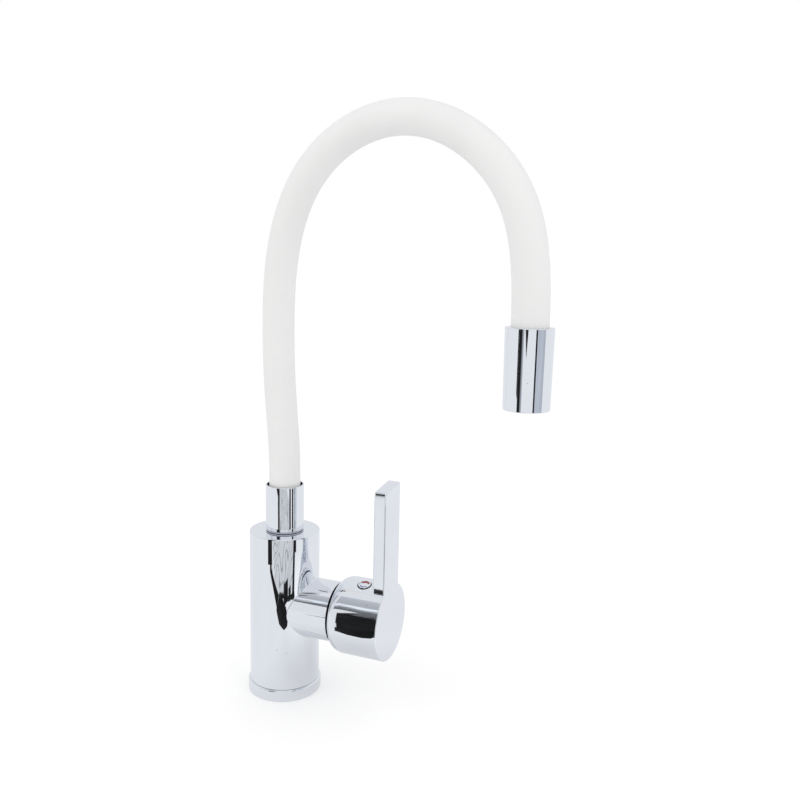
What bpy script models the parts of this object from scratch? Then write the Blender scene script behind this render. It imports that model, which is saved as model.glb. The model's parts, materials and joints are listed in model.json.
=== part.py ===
"""Flexible kitchen faucet: upright body with a side lever, and a white hose that arches over and stays where it is bent.

Metres, +Z up. The origin is on the deck, on the body's axis. The handle's branch points along +X.
The spout is shown turned a little towards the viewer's side of the branch, as in the photograph.
"""

import math

import bmesh
import bpy
from mathutils import Matrix, Vector

# Clearances shared by all pieces
FIT = 0.0003
OVERRUN = 0.004
MERGE = 0.000002

# Upright body and its foot
BODY_RADIUS = 0.025
SOCKET_WEB = 0.0105
BODY_EDGE = 0.0007
FOOT_STEP = 0.0015
FOOT_RING_WALL = 0.0026
FOOT_RING_HEIGHT = 0.0085
FOOT_RING_EDGE = 0.0012
GASKET_INSET = 0.0033
GASKET_WIDTH = 0.0026
GASKET_THICKNESS = 0.0022
INLET_RADIUS = 0.005
INLET_DEPTH = 0.014
PORT_FLOOR_WALL = 0.0027
CHANNEL_RADIUS = 0.003
OUTLET_RADIUS = 0.0042
STUD_RADIUS = 0.004
STUD_DEPTH = 0.016
STUD_OFFSET = 0.0118

# Cartridge and its branch
BRANCH_HEIGHT = 0.0649
BRANCH_PAST_BODY = 0.0194
BRANCH_WALL = 0.0033
BRANCH_EDGE = 0.0005
CARTRIDGE_RADIUS = 0.0174
CARTRIDGE_SLACK = 0.0004
CARTRIDGE_WALL = 0.0024
CARTRIDGE_TOP_WALL = 0.002
NUT_THREAD = 0.0012
NUT_HEIGHT = 0.0055
NUT_PLAY = 0.0021
NUT_RECESS = 0.0006
NUT_SLOTS = 6
NUT_SLOT_WIDTH = 0.004
NUT_SLOT_DEPTH = 0.0018
PORT_SEAL_THICKNESS = 0.0012
PORT_SEAL_WIDTH = 0.0014
CARTRIDGE_BASE_THICKNESS = 0.005
DISC_THICKNESS = 0.0035
MOVING_DISC_STEP = 0.0043
COUPLER_THICKNESS = 0.0045
COUPLER_FLOOR = 0.001
CARRIER_THICKNESS = 0.0065
CARRIER_NECK_STEP = 0.006
PORT_SPREAD_SHARE = 0.488
PORT_DROP_SHARE = 0.345
PORT_RISE_SHARE = 0.517
PIN_RADIUS = 0.0015
FLOW_ANGLE = math.radians(25)
STEM_HALF_WIDTH = 0.004
STEM_EYE_WALL = 0.0015
STEM_FINGER_HALF_WIDTH = 0.0025
STEM_FINGER_PLAY = 0.0012
STEM_LENGTH = 0.0375
PIN_PLAY = 0.0002

# Cap and lever
CAP_GAP = 0.001
CAP_FLARE = 0.0058
CAP_SHOULDER = 0.0088
CAP_LENGTH = 0.0386
CAP_WALL = 0.0018
CAP_FACE_WALL = 0.004
CAP_EDGE = 0.0006
LEVER_THICKNESS = 0.0084
LEVER_WIDTH = 0.024
LEVER_HEIGHT = 0.0921
LEVER_CORNER = 0.003
LEVER_EDGE = 0.0012
BOSS_RADIUS = 0.0076
BOSS_SETBACK = 0.0041
PILLAR_WALL = 0.0015
PLUG_BACK_FROM_FACE = 0.02
PLUG_RADIUS = 0.0044
PLUG_DEPTH = 0.0028
PLUG_PROUD = 0.0007
PLUG_RIM = 0.0015
PLUG_FLOOR = 0.0014
GRUB_RADIUS = 0.0025
GRUB_LENGTH = 0.008
GRUB_KEY_RADIUS = 0.0014
GRUB_KEY_DEPTH = 0.003

# Swivel in the body's top
STEM_TUBE_STEP = 0.0024
STEM_TUBE_WALL = 0.003
SWIVEL_CLEARANCE = 0.0004
SWIVEL_DEPTH = 0.027
O_RING_THICKNESS = 0.0018
O_RING_SQUEEZE = 0.0001
O_RING_SPREAD = 0.0085
O_RING_FROM_TOP = 0.0075
CLIP_THICKNESS = 0.0014
CLIP_WIDTH = 0.0020
CLIP_GROOVE_DEPTH = 0.0011
CLIP_HEIGHT = 0.0025
CLIP_MOUTH = math.radians(50)
SLIP_WASHER_THICKNESS = 0.0008
COLLAR_PLAY = 0.0016
COLLAR_WALL = 0.001
COLLAR_HEIGHT = 0.0322
COLLAR_FLOOR = 0.002
COLLAR_EDGE = 0.0003
STEM_FLANGE = 0.0024

# Hose: its run is a heading that changes along its visible length
SPOUT_TURN = math.radians(-11.2)
HOSE_LENGTH = 0.4718
HOSE_HEADING_SHARES = (0, -0.03, -0.008, 0.027, 0.123, 0.286, 0.449, 0.619, 0.773, 0.939, 1)
HOSE_STEPS = 440
HOSE_RADIUS = 0.011
SLEEVE_WALL = 0.0016
SLEEVE_STEP = 0.0185
SLEEVE_PLAY = 0.0009
GOOSENECK_VALLEY = 0.0009
GOOSENECK_WALL = 0.0014
GOOSENECK_LINKS = 12
GOOSENECK_RIBS = 5
HINGE_ANGLE = math.radians(12)
HINGE_REST_BEND = math.radians(2)
FIRST_HINGE = 0.022
LAST_HINGE = 0.016
WATER_HOSE_PLAY = 0.0012
WATER_HOSE_WALL = 0.0015
FERRULE_WALL = 0.0009
FERRULE_DEPTH = 0.012
FERRULE_FLOOR = 0.002
BARB_WALL = 0.0009
BARB_LENGTH = 0.009
SPIGOT_LENGTH = 0.0125
SPIGOT_WALL = 0.0035

# Nozzle and aerator
NOZZLE_LENGTH = 0.0477
NOZZLE_STEP = 0.0028
NOZZLE_TAPER = 0.0005
NOZZLE_WALL = 0.0014
NOZZLE_TOP_WALL = 0.0016
NOZZLE_EDGE = 0.0003
TIP_DEPTH = 0.0085
TIP_FLANGE = 0.005
SHOULDER_RING = 0.0025
SHOULDER_WIDTH = 0.002
AERATOR_RECESS = 0.0005
AERATOR_HEIGHT = 0.011
AERATOR_WALL = 0.0014
AERATOR_LIP = 0.001
AERATOR_LIP_WIDTH = 0.0011
AERATOR_WASHER_THICKNESS = 0.0016
AERATOR_WASHER_WIDTH = 0.004
SCREEN_THICKNESS = 0.0009
INSERT_HOLE_SHARE = 0.43
SCREEN_HOLE_SHARE = 0.35
AERATOR_HOLE_RINGS = 2

# Facets
LARGE_SIDES = 40
ROUND_SIDES = 32
HIDDEN_SIDES = 24
SMALL_SIDES = 16
HOSE_SIDES = 14
WATER_HOSE_SIDES = 8
GOOSENECK_SIDES = 10
SHOULDER_STEPS = 6
CORNER_STEPS = 3
SEAL_SIDES = 6

FINISHES = {
    "chrome": ((0.86, 0.88, 0.92), 0.05, 1.0),
    "brass": ((0.78, 0.62, 0.34), 0.28, 1.0),
    "steel": ((0.62, 0.63, 0.65), 0.3, 1.0),
    "ceramic": ((0.88, 0.86, 0.8), 0.12, 0.0),
    "grey plastic": ((0.42, 0.43, 0.45), 0.45, 0.0),
    "white plastic": ((0.85, 0.85, 0.84), 0.4, 0.0),
    "black rubber": ((0.03, 0.03, 0.035), 0.7, 0.0),
    "white silicone": ((0.86, 0.86, 0.86), 0.55, 0.0),
    "water hose": ((0.74, 0.76, 0.78), 0.4, 0.0),
    "red enamel": ((0.7, 0.03, 0.03), 0.3, 0.0),
    "blue enamel": ((0.02, 0.1, 0.6), 0.3, 0.0),
}

# Sizes that follow from those above
CHAMBER_RADIUS = CARTRIDGE_RADIUS + CARTRIDGE_SLACK
SPIGOT_RADIUS = BODY_RADIUS - FOOT_STEP
GASKET_RADIUS = SPIGOT_RADIUS - GASKET_INSET
BODY_HEIGHT = BRANCH_HEIGHT + CHAMBER_RADIUS + SOCKET_WEB + SWIVEL_DEPTH
PORT_SPREAD = CARTRIDGE_RADIUS * PORT_SPREAD_SHARE
PORT_DROP = CARTRIDGE_RADIUS * PORT_DROP_SHARE
PORT_RISE = CARTRIDGE_RADIUS * PORT_RISE_SHARE
CARRIER_NECK_RADIUS = CARTRIDGE_RADIUS - CARRIER_NECK_STEP
NUT_OPENING = CARRIER_NECK_RADIUS + NUT_PLAY
BRANCH_RADIUS = CHAMBER_RADIUS + BRANCH_WALL
BRANCH_REACH = BODY_RADIUS + BRANCH_PAST_BODY
CAVITY_RADIUS = CARTRIDGE_RADIUS - CARTRIDGE_WALL
MOVING_DISC_RADIUS = CAVITY_RADIUS - FIT - MOVING_DISC_STEP
PILLAR_RADIUS = PLUG_RADIUS + FIT + PILLAR_WALL
GOOSENECK_RADIUS = HOSE_RADIUS - SLEEVE_WALL - SLEEVE_PLAY
GOOSENECK_BORE = GOOSENECK_RADIUS - GOOSENECK_VALLEY - GOOSENECK_WALL
WATER_HOSE_RADIUS = GOOSENECK_BORE - WATER_HOSE_PLAY
COLLAR_RADIUS = HOSE_RADIUS + COLLAR_PLAY + COLLAR_WALL
STEM_TUBE_RADIUS = HOSE_RADIUS + COLLAR_PLAY - STEM_TUBE_STEP
NOZZLE_BOTTOM_RADIUS = HOSE_RADIUS + NOZZLE_STEP
NOZZLE_TOP_RADIUS = NOZZLE_BOTTOM_RADIUS + NOZZLE_TAPER
NUT_RADIUS = CHAMBER_RADIUS + NUT_THREAD
CAP_START = BRANCH_REACH + CAP_GAP
CAP_FACE = CAP_START + CAP_LENGTH
CAP_RADIUS = BRANCH_RADIUS + CAP_FLARE
LINK_GAP = 2 * (GOOSENECK_RADIUS - GOOSENECK_VALLEY) * math.tan((HINGE_ANGLE + HINGE_REST_BEND) / 2) + FIT
SOCKET_RADIUS = STEM_TUBE_RADIUS + SWIVEL_CLEARANCE
COLLAR_BOTTOM = BODY_HEIGHT + FIT + SLIP_WASHER_THICKNESS + FIT
COLLAR_RIM = COLLAR_BOTTOM + COLLAR_HEIGHT
FLANGE_BOTTOM = COLLAR_BOTTOM + COLLAR_FLOOR + FIT
FLANGE_TOP = FLANGE_BOTTOM + STEM_FLANGE
NOZZLE_BORE = NOZZLE_BOTTOM_RADIUS - NOZZLE_WALL


def cartridge_stack():
    """Where each layer of the cartridge starts and ends along the branch, from the nut inwards."""
    layers = (
        ("nut", NUT_HEIGHT),
        ("top", CARTRIDGE_TOP_WALL),
        ("carrier", CARRIER_THICKNESS),
        ("coupler", COUPLER_THICKNESS),
        ("moving", DISC_THICKNESS),
        ("fixed", DISC_THICKNESS),
        ("base", CARTRIDGE_BASE_THICKNESS),
        ("seal", PORT_SEAL_THICKNESS),
    )
    spans = {}
    end = BRANCH_REACH - NUT_RECESS
    for layer, thickness in layers:
        spans[layer] = (end - thickness, end)
        end -= thickness + FIT
    spans["floor"] = end
    return spans


STACK = cartridge_stack()
PIVOT = (STACK["carrier"][0] + STACK["carrier"][1]) / 2
PLUG_PLACE = CAP_FACE - PLUG_BACK_FROM_FACE
INLET_OFFSET = STACK["floor"] - CHANNEL_RADIUS - PORT_FLOOR_WALL


def clear_scene():
    for thing in list(bpy.data.objects):
        bpy.data.objects.remove(thing, do_unlink=True)


def finish(name, kind):
    colour, roughness, metallic = FINISHES[kind]
    material = bpy.data.materials.new(name)
    material.use_nodes = True
    shader = material.node_tree.nodes["Principled BSDF"]
    shader.inputs["Base Color"].default_value = (*colour, 1)
    shader.inputs["Roughness"].default_value = roughness
    shader.inputs["Metallic"].default_value = metallic
    return material


def anchor(name, parent=None, matrix=None):
    """An empty that pieces are placed from."""
    empty = bpy.data.objects.new(name, None)
    bpy.context.collection.objects.link(empty)
    empty.parent = parent
    empty.matrix_local = matrix or Matrix.Identity(4)
    return empty


def piece(name, mesh, kind, parent=None, matrix=None):
    """One named sub-part with its own material, placed from its parent."""
    thing = bpy.data.objects.new(name, mesh)
    bpy.context.collection.objects.link(thing)
    thing.parent = parent
    thing.matrix_local = matrix or Matrix.Identity(4)
    mesh.materials.append(finish(name, kind))
    return thing


def cutter(name, mesh, parent=None, matrix=None):
    thing = bpy.data.objects.new(name, mesh)
    bpy.context.collection.objects.link(thing)
    thing.parent = parent
    thing.matrix_local = matrix or Matrix.Identity(4)
    thing.hide_render = True
    thing.display_type = "WIRE"
    return thing


def combine(thing, others, operation):
    for other in others:
        step = thing.modifiers.new(f"{operation.lower()} {other.name}", "BOOLEAN")
        step.operation = operation
        step.solver = "EXACT"
        step.object = other


def shade(mesh):
    mesh.shade_smooth()
    mesh.set_sharp_from_angle(angle=math.radians(30))


def finished(bm):
    """Turn a bmesh into a shaded mesh whose faces point out."""
    bmesh.ops.remove_doubles(bm, verts=bm.verts, dist=MERGE)
    bmesh.ops.dissolve_degenerate(bm, edges=bm.edges, dist=MERGE)
    bmesh.ops.recalc_face_normals(bm, faces=bm.faces)
    mesh = bpy.data.meshes.new("shape")
    bm.to_mesh(mesh)
    bm.free()
    shade(mesh)
    return mesh


def revolved(outline, sides=HIDDEN_SIDES):
    """Turn an outline of (radius, height) points about Z. It is closed unless both its ends lie on the axis."""
    bm = bmesh.new()
    points = [bm.verts.new((radius, 0, height)) for radius, height in outline]
    pairs = list(zip(points, points[1:]))
    if outline[0][0] or outline[-1][0]:
        pairs.append((points[-1], points[0]))
    edges = [bm.edges.new(pair) for pair in pairs]
    return turned(bm, points + edges, sides)


def turned(bm, section, sides):
    """Spin a section about Z, and leave each flat end as one face."""
    bmesh.ops.spin(bm, geom=section, axis=(0, 0, 1), cent=(0, 0, 0), steps=sides, angle=math.tau, use_merge=True)
    bmesh.ops.remove_doubles(bm, verts=bm.verts, dist=MERGE)
    bmesh.ops.dissolve_verts(bm, verts=[vert for vert in bm.verts if vert.co.xy.length < MERGE])
    return finished(bm)


def tube(outer, inner, low, high, sides=HIDDEN_SIDES):
    return revolved([(inner, low), (outer, low), (outer, high), (inner, high)], sides)


def rod(radius, low, high, sides=SMALL_SIDES):
    return revolved([(0, low), (radius, low), (radius, high), (0, high)], sides)


def block(x_span, y_span, z_span):
    bm = bmesh.new()
    bmesh.ops.create_cube(bm, size=1)
    spans = (x_span, y_span, z_span)
    for vert in bm.verts:
        vert.co = [low + (high - low) * (share + 0.5) for (low, high), share in zip(spans, vert.co)]
    return finished(bm)


def seal_ring(middle, thickness, height, sides=HIDDEN_SIDES):
    """A rubber ring of round section, its middle at this height."""
    half = thickness / 2
    turns = [math.tau * step / SEAL_SIDES for step in range(SEAL_SIDES)]
    return revolved([(middle + half * math.cos(turn), height + half * math.sin(turn)) for turn in turns], sides)


def quarter(start_radius, start_height, rise, run, steps=SHOULDER_STEPS):
    """Points of a quarter ellipse that leaves an end face outwards and ends along the axis."""
    turns = [math.pi / 2 * step / steps for step in range(steps + 1)]
    return [(start_radius + rise * math.sin(turn), start_height + run * (1 - math.cos(turn))) for turn in turns]


# Hose run


def heading(share):
    """How far the hose has turned over, in radians, at a share of its visible length."""
    last = len(HOSE_HEADING_SHARES) - 1
    place = min(max(share, 0), 1) * last
    index = min(int(place), last - 1)
    before, here, there, after = (
        HOSE_HEADING_SHARES[min(max(index + step, 0), last)] for step in (-1, 0, 1, 2)
    )
    part = place - index
    slope_here, slope_there = (there - before) / 2, (after - here) / 2
    smooth = part * part * (3 - 2 * part)
    bend = part * (1 - part) * (slope_here * (1 - part) - slope_there * part)
    return math.pi * (here + (there - here) * smooth + bend)


def hose_points():
    """The hose's middle line in its own plane, as (reach, height) above the collar's rim."""
    points = [(0.0, 0.0)]
    step = HOSE_LENGTH / HOSE_STEPS
    for index in range(HOSE_STEPS):
        angle = heading((index + 0.5) / HOSE_STEPS)
        reach, height = points[-1]
        points.append((reach + step * math.sin(angle), height + step * math.cos(angle)))
    return points


HOSE_POINTS = hose_points()


def hose_frame(distance):
    """Where the hose is this far past the collar's rim: X into the bend, Y across it, Z along the hose."""
    share = min(max(distance / HOSE_LENGTH, 0), 1)
    place = share * HOSE_STEPS
    index = min(int(place), HOSE_STEPS - 1)
    (reach, height), (next_reach, next_height) = HOSE_POINTS[index], HOSE_POINTS[index + 1]
    reach += (next_reach - reach) * (place - index)
    height += (next_height - height) * (place - index)
    angle = heading(share)
    past = distance - share * HOSE_LENGTH
    reach += past * math.sin(angle)
    height += past * math.cos(angle)
    return Matrix.Translation((reach, 0, COLLAR_RIM + height)) @ Matrix.Rotation(angle, 4, "Y")


def swept(outer, inner, sides):
    """A hollow length of hose from rings of (distance, radius), outside and in the bore, in the spout's frame."""
    bm = bmesh.new()
    rings = []
    for distance, radius in list(outer) + list(reversed(inner)):
        frame = hose_frame(distance)
        turns = [math.tau * step / sides for step in range(sides)]
        rings.append([bm.verts.new(frame @ Vector((radius * math.cos(t), radius * math.sin(t), 0))) for t in turns])
    for ring, other in zip(rings, rings[1:] + rings[:1]):
        for side in range(sides):
            after = (side + 1) % sides
            bm.faces.new((ring[side], ring[after], other[after], other[side]))
    return finished(bm)


def spaced(start, end, step):
    """Even distances from start to end, about a step apart."""
    count = max(round((end - start) / step), 1)
    return [start + (end - start) * index / count for index in range(count + 1)]


def hinge_distances():
    spacing = (HOSE_LENGTH - FIRST_HINGE - LAST_HINGE) / GOOSENECK_LINKS
    return [FIRST_HINGE + spacing * index for index in range(GOOSENECK_LINKS + 1)]


# Body


def body_casting(base, branch):
    """The casting: an upright and its branch, with the chamber, the swivel's socket and the waterways cut in."""
    low_radius = SPIGOT_RADIUS
    step_height = FOOT_RING_HEIGHT + FIT
    gasket_half = GASKET_WIDTH / 2 + FIT
    groove_top = GASKET_THICKNESS + FIT
    clip_low = socket_floor() + CLIP_HEIGHT - FIT
    clip_top = socket_floor() + CLIP_HEIGHT + CLIP_THICKNESS + FIT
    clip_groove = SOCKET_RADIUS + CLIP_GROOVE_DEPTH
    upright = revolved(
        [
            (0, 0),
            (GASKET_RADIUS - gasket_half, 0),
            (GASKET_RADIUS - gasket_half, groove_top),
            (GASKET_RADIUS + gasket_half, groove_top),
            (GASKET_RADIUS + gasket_half, 0),
            (low_radius, 0),
            (low_radius, step_height),
            (BODY_RADIUS, step_height),
            (BODY_RADIUS, BODY_HEIGHT - BODY_EDGE),
            (BODY_RADIUS - BODY_EDGE, BODY_HEIGHT),
            (SOCKET_RADIUS, BODY_HEIGHT),
            (SOCKET_RADIUS, clip_top),
            (clip_groove, clip_top),
            (clip_groove, clip_low),
            (SOCKET_RADIUS, clip_low),
            (SOCKET_RADIUS, socket_floor()),
            (0, socket_floor()),
        ],
        LARGE_SIDES,
    )
    casting = piece("body_casting", upright, "chrome", base)
    arm = revolved(
        [
            (0, 0),
            (BRANCH_RADIUS, 0),
            (BRANCH_RADIUS, BRANCH_REACH - BRANCH_EDGE),
            (BRANCH_RADIUS - BRANCH_EDGE, BRANCH_REACH),
            (0, BRANCH_REACH),
        ],
        LARGE_SIDES,
    )
    floor = STACK["floor"]
    pocket = STACK["nut"][0] - FIT
    chamber = revolved(
        [
            (0, floor),
            (CHAMBER_RADIUS, floor),
            (CHAMBER_RADIUS, pocket),
            (NUT_RADIUS, pocket),
            (NUT_RADIUS, BRANCH_REACH + OVERRUN),
            (0, BRANCH_REACH + OVERRUN),
        ],
        LARGE_SIDES,
    )
    cuts = [
        cutter("chamber_cut", chamber, branch),
        cutter("stud_cut", rod(STUD_RADIUS, -OVERRUN, STUD_DEPTH), base, Matrix.Translation((-STUD_OFFSET, 0, 0))),
    ]
    port_height = BRANCH_HEIGHT - PORT_DROP
    for side, name in ((-1, "cold"), (1, "hot")):
        place = Matrix.Translation((INLET_OFFSET, side * PORT_SPREAD, 0))
        inlet = revolved(
            [
                (0, -OVERRUN),
                (INLET_RADIUS, -OVERRUN),
                (INLET_RADIUS, INLET_DEPTH),
                (CHANNEL_RADIUS + FIT, INLET_DEPTH),
                (CHANNEL_RADIUS + FIT, port_height + CHANNEL_RADIUS / 2),
                (0, port_height + CHANNEL_RADIUS / 2),
            ],
            SMALL_SIDES,
        )
        cuts.append(cutter(f"{name}_inlet_cut", inlet, base, place))
        port = rod(CHANNEL_RADIUS, INLET_OFFSET, floor + OVERRUN)
        cuts.append(cutter(f"{name}_port_cut", port, branch, port_places()[name]))
    rise = rod(OUTLET_RADIUS + FIT, BRANCH_HEIGHT + PORT_RISE - OUTLET_RADIUS / 2, socket_floor() + OVERRUN)
    cuts.append(cutter("outlet_rise_cut", rise, base))
    out = rod(OUTLET_RADIUS, 0, floor + OVERRUN)
    cuts.append(cutter("outlet_port_cut", out, branch, port_places()["outlet"]))
    combine(casting, [cutter("branch_arm", arm, branch)], "UNION")
    combine(casting, cuts, "DIFFERENCE")
    shade(upright)


def socket_floor():
    return BODY_HEIGHT - SWIVEL_DEPTH


def port_places():
    """The three ports in the chamber's floor, in the branch's frame, whose X points down."""
    side = PORT_SPREAD
    return {
        "cold": Matrix.Translation((PORT_DROP, -side, 0)),
        "hot": Matrix.Translation((PORT_DROP, side, 0)),
        "outlet": Matrix.Translation((-PORT_RISE, 0, 0)),
    }


def foot(base):
    inner = SPIGOT_RADIUS + FIT
    outer = inner + FOOT_RING_WALL
    outline = [
        (inner, 0),
        (outer, 0),
        (outer, FOOT_RING_HEIGHT - FOOT_RING_EDGE),
        (outer - FOOT_RING_EDGE, FOOT_RING_HEIGHT),
        (inner, FOOT_RING_HEIGHT),
    ]
    piece("foot_ring", revolved(outline, LARGE_SIDES), "chrome", base)
    half = GASKET_WIDTH / 2
    gasket = tube(GASKET_RADIUS + half, GASKET_RADIUS - half, 0, GASKET_THICKNESS, ROUND_SIDES)
    piece("base_gasket", gasket, "black rubber", base)


# Cartridge


def port_radius(name):
    return OUTLET_RADIUS if name == "outlet" else CHANNEL_RADIUS


def cartridge_shell(branch):
    """The seals, the base with its three ports, the fixed disc and the housing over them."""
    for name, place in port_places().items():
        inner = port_radius(name) + FIT
        seal = tube(inner + PORT_SEAL_WIDTH, inner, *STACK["seal"], SMALL_SIDES)
        piece(f"{name}_port_seal", seal, "black rubber", branch, place)
    base = piece("cartridge_base", rod(CARTRIDGE_RADIUS, *STACK["base"], ROUND_SIDES), "grey plastic", branch)
    disc = piece("fixed_disc", rod(CAVITY_RADIUS - FIT, *STACK["fixed"], HIDDEN_SIDES), "ceramic", branch)
    for name, place in port_places().items():
        low, high = STACK["seal"][0], STACK["moving"][0]
        hole = cutter(f"{name}_disc_cut", rod(port_radius(name) - FIT, low, high), branch, place)
        combine(base, [hole], "DIFFERENCE")
        combine(disc, [hole], "DIFFERENCE")
    neck = CARRIER_NECK_RADIUS + FIT
    shell = [
        (CAVITY_RADIUS, STACK["base"][1] + FIT),
        (CARTRIDGE_RADIUS, STACK["base"][1] + FIT),
        (CARTRIDGE_RADIUS, STACK["top"][1]),
        (neck, STACK["top"][1]),
        (neck, STACK["top"][0]),
        (CAVITY_RADIUS, STACK["top"][0]),
    ]
    piece("cartridge_housing", revolved(shell, ROUND_SIDES), "grey plastic", branch)


def retaining_nut(branch):
    """The ring nut, with slots for its spanner round the outer face."""
    low, high = STACK["nut"]
    nut = piece("retaining_nut", tube(NUT_RADIUS - FIT, NUT_OPENING, low, high, ROUND_SIDES), "brass", branch)
    half = NUT_SLOT_WIDTH / 2
    middle = (NUT_RADIUS + NUT_OPENING) / 2
    slots = []
    for index in range(NUT_SLOTS):
        slot = block((NUT_OPENING - OVERRUN, middle), (-half, half), (high - NUT_SLOT_DEPTH, high + OVERRUN))
        turn = Matrix.Rotation(math.tau * index / NUT_SLOTS, 4, "Z")
        slots.append(cutter(f"nut_slot_cut_{index + 1}", slot, branch, turn))
    combine(nut, slots, "DIFFERENCE")


def mixer(turning):
    """What turns with the lever about the branch: the carrier, its pin, the coupler and the moving disc."""
    low, high = STACK["carrier"]
    neck_top = STACK["top"][1] - FIT
    outline = [
        (0, low),
        (CAVITY_RADIUS - FIT, low),
        (CAVITY_RADIUS - FIT, high),
        (CARRIER_NECK_RADIUS, high),
        (CARRIER_NECK_RADIUS, neck_top),
        (0, neck_top),
    ]
    carrier = piece("stem_carrier", revolved(outline), "white plastic", turning)
    reach = max(neck_top - PIVOT, PIVOT - low)
    half_slot = reach * math.tan(FLOW_ANGLE) + STEM_HALF_WIDTH / math.cos(FLOW_ANGLE) + FIT
    side = STEM_HALF_WIDTH + FIT
    slot = block((-half_slot, half_slot), (-side, side), (low - OVERRUN, neck_top + OVERRUN))
    pin_turn = Matrix.Translation((0, 0, PIVOT)) @ Matrix.Rotation(math.pi / 2, 4, "X")
    hole = rod(PIN_RADIUS + PIN_PLAY, -CAVITY_RADIUS - OVERRUN, CAVITY_RADIUS + OVERRUN)
    combine(carrier, [cutter("carrier_slot_cut", slot, turning), cutter("pin_cut", hole, turning, pin_turn)], "DIFFERENCE")
    pin_half = CAVITY_RADIUS - 4 * FIT
    piece("pivot_pin", rod(PIN_RADIUS, -pin_half, pin_half, SMALL_SIDES), "steel", turning, pin_turn)


def slider(turning):
    """The ceramic disc that slides over the ports, and the coupler that pushes it."""
    low, high = STACK["moving"]
    disc = piece("moving_disc", rod(MOVING_DISC_RADIUS, low, high), "ceramic", turning)
    pocket = rod(MOVING_DISC_RADIUS - PORT_RISE + PORT_DROP, low - OVERRUN, (low + high) / 2, SMALL_SIDES)
    combine(disc, [cutter("disc_pocket_cut", pocket, turning)], "DIFFERENCE")
    low, high = STACK["coupler"]
    coupler = piece("disc_coupler", rod(MOVING_DISC_RADIUS, low, high), "grey plastic", turning)
    depth = high - low - COUPLER_FLOOR
    half = STEM_FINGER_HALF_WIDTH / math.cos(FLOW_ANGLE) + depth * math.tan(FLOW_ANGLE) / 2 + FIT
    side = STEM_FINGER_HALF_WIDTH + FIT
    socket = block((-half, half), (-side, side), (low + COUPLER_FLOOR, high + OVERRUN))
    combine(coupler, [cutter("coupler_cut", socket, turning)], "DIFFERENCE")


# Handle: the frame's Z points out along the branch, its X down, and its origin is on the pivot pin


def control_stem(rocking):
    """The square stem: a finger in the coupler, an eye for the pin, and a shank for the handle."""
    half = STEM_HALF_WIDTH
    stem = piece("control_stem", block((-half, half), (-half, half), (0, STEM_LENGTH)), "brass", rocking)
    finger_half = STEM_FINGER_HALF_WIDTH
    tip = STACK["coupler"][0] + COUPLER_FLOOR + STEM_FINGER_PLAY - PIVOT
    finger = block((-finger_half, finger_half), (-finger_half, finger_half), (tip, finger_half))
    across = Matrix.Rotation(math.pi / 2, 4, "X")
    hole = PIN_RADIUS + PIN_PLAY
    knuckle = rod(hole + STEM_EYE_WALL, -half + FIT, half - FIT)
    parts = [cutter("stem_finger", finger, rocking), cutter("stem_knuckle", knuckle, rocking, across)]
    combine(stem, parts, "UNION")
    eye = rod(hole, -half - OVERRUN, half + OVERRUN)
    combine(stem, [cutter("stem_eye_cut", eye, rocking, across)], "DIFFERENCE")


def cap_outline():
    """The cap's section: shoulder, skirt and face outside, and the hollow behind them."""
    start, face = CAP_START - PIVOT, CAP_FACE - PIVOT
    lip = BRANCH_RADIUS - FIT / 2
    inner_rise = CAP_RADIUS - CAP_WALL - lip
    outside = quarter(BRANCH_RADIUS, start, CAP_FLARE, CAP_SHOULDER)
    inside = quarter(lip, start + CAP_WALL, inner_rise, CAP_SHOULDER - CAP_WALL)
    front = [
        (CAP_RADIUS, face - CAP_EDGE),
        (CAP_RADIUS - CAP_EDGE, face),
        (0, face),
        (0, face - CAP_FACE_WALL),
        (CAP_RADIUS - CAP_WALL, face - CAP_FACE_WALL),
    ]
    return [(lip, start)] + outside + front + inside[::-1]


def handle(rocking):
    """The cap and its lever, one casting, with the boss that takes the stem and the pillar for the grub screw."""
    face = CAP_FACE - PIVOT
    outline = cap_outline()
    cap = piece("handle", cap_shell(outline), "chrome", rocking)
    lever = cutter("lever_bar", extruded(lever_outline(), face - LEVER_THICKNESS, face), rocking)
    bevel = lever.modifiers.new("edges", "BEVEL")
    bevel.width = LEVER_EDGE
    bevel.segments = 2
    boss_start = boss_height()
    boss = cutter("boss", rod(BOSS_RADIUS, boss_start, face - CAP_FACE_WALL / 2, HIDDEN_SIDES), rocking)
    up = Matrix.Translation((0, 0, PLUG_PLACE - PIVOT)) @ Matrix.Rotation(-math.pi / 2, 4, "Y")
    pillar = cutter("pillar", rod(PILLAR_RADIUS, 0, CAP_RADIUS - CAP_WALL / 2), rocking, up)
    combine(cap, [lever, boss, pillar], "UNION")
    side = STEM_HALF_WIDTH + FIT
    socket = block((-side, side), (-side, side), (boss_start - OVERRUN, STEM_LENGTH + FIT))
    screw_hole = revolved(
        [
            (0, 0),
            (GRUB_RADIUS + FIT, 0),
            (GRUB_RADIUS + FIT, CAP_RADIUS - PLUG_DEPTH),
            (PLUG_RADIUS + FIT, CAP_RADIUS - PLUG_DEPTH),
            (PLUG_RADIUS + FIT, CAP_RADIUS + OVERRUN),
            (0, CAP_RADIUS + OVERRUN),
        ],
        SMALL_SIDES,
    )
    cuts = [cutter("stem_socket_cut", socket, rocking), cutter("screw_cut", screw_hole, rocking, up)]
    combine(cap, cuts, "DIFFERENCE")
    plug(rocking, up)


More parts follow.
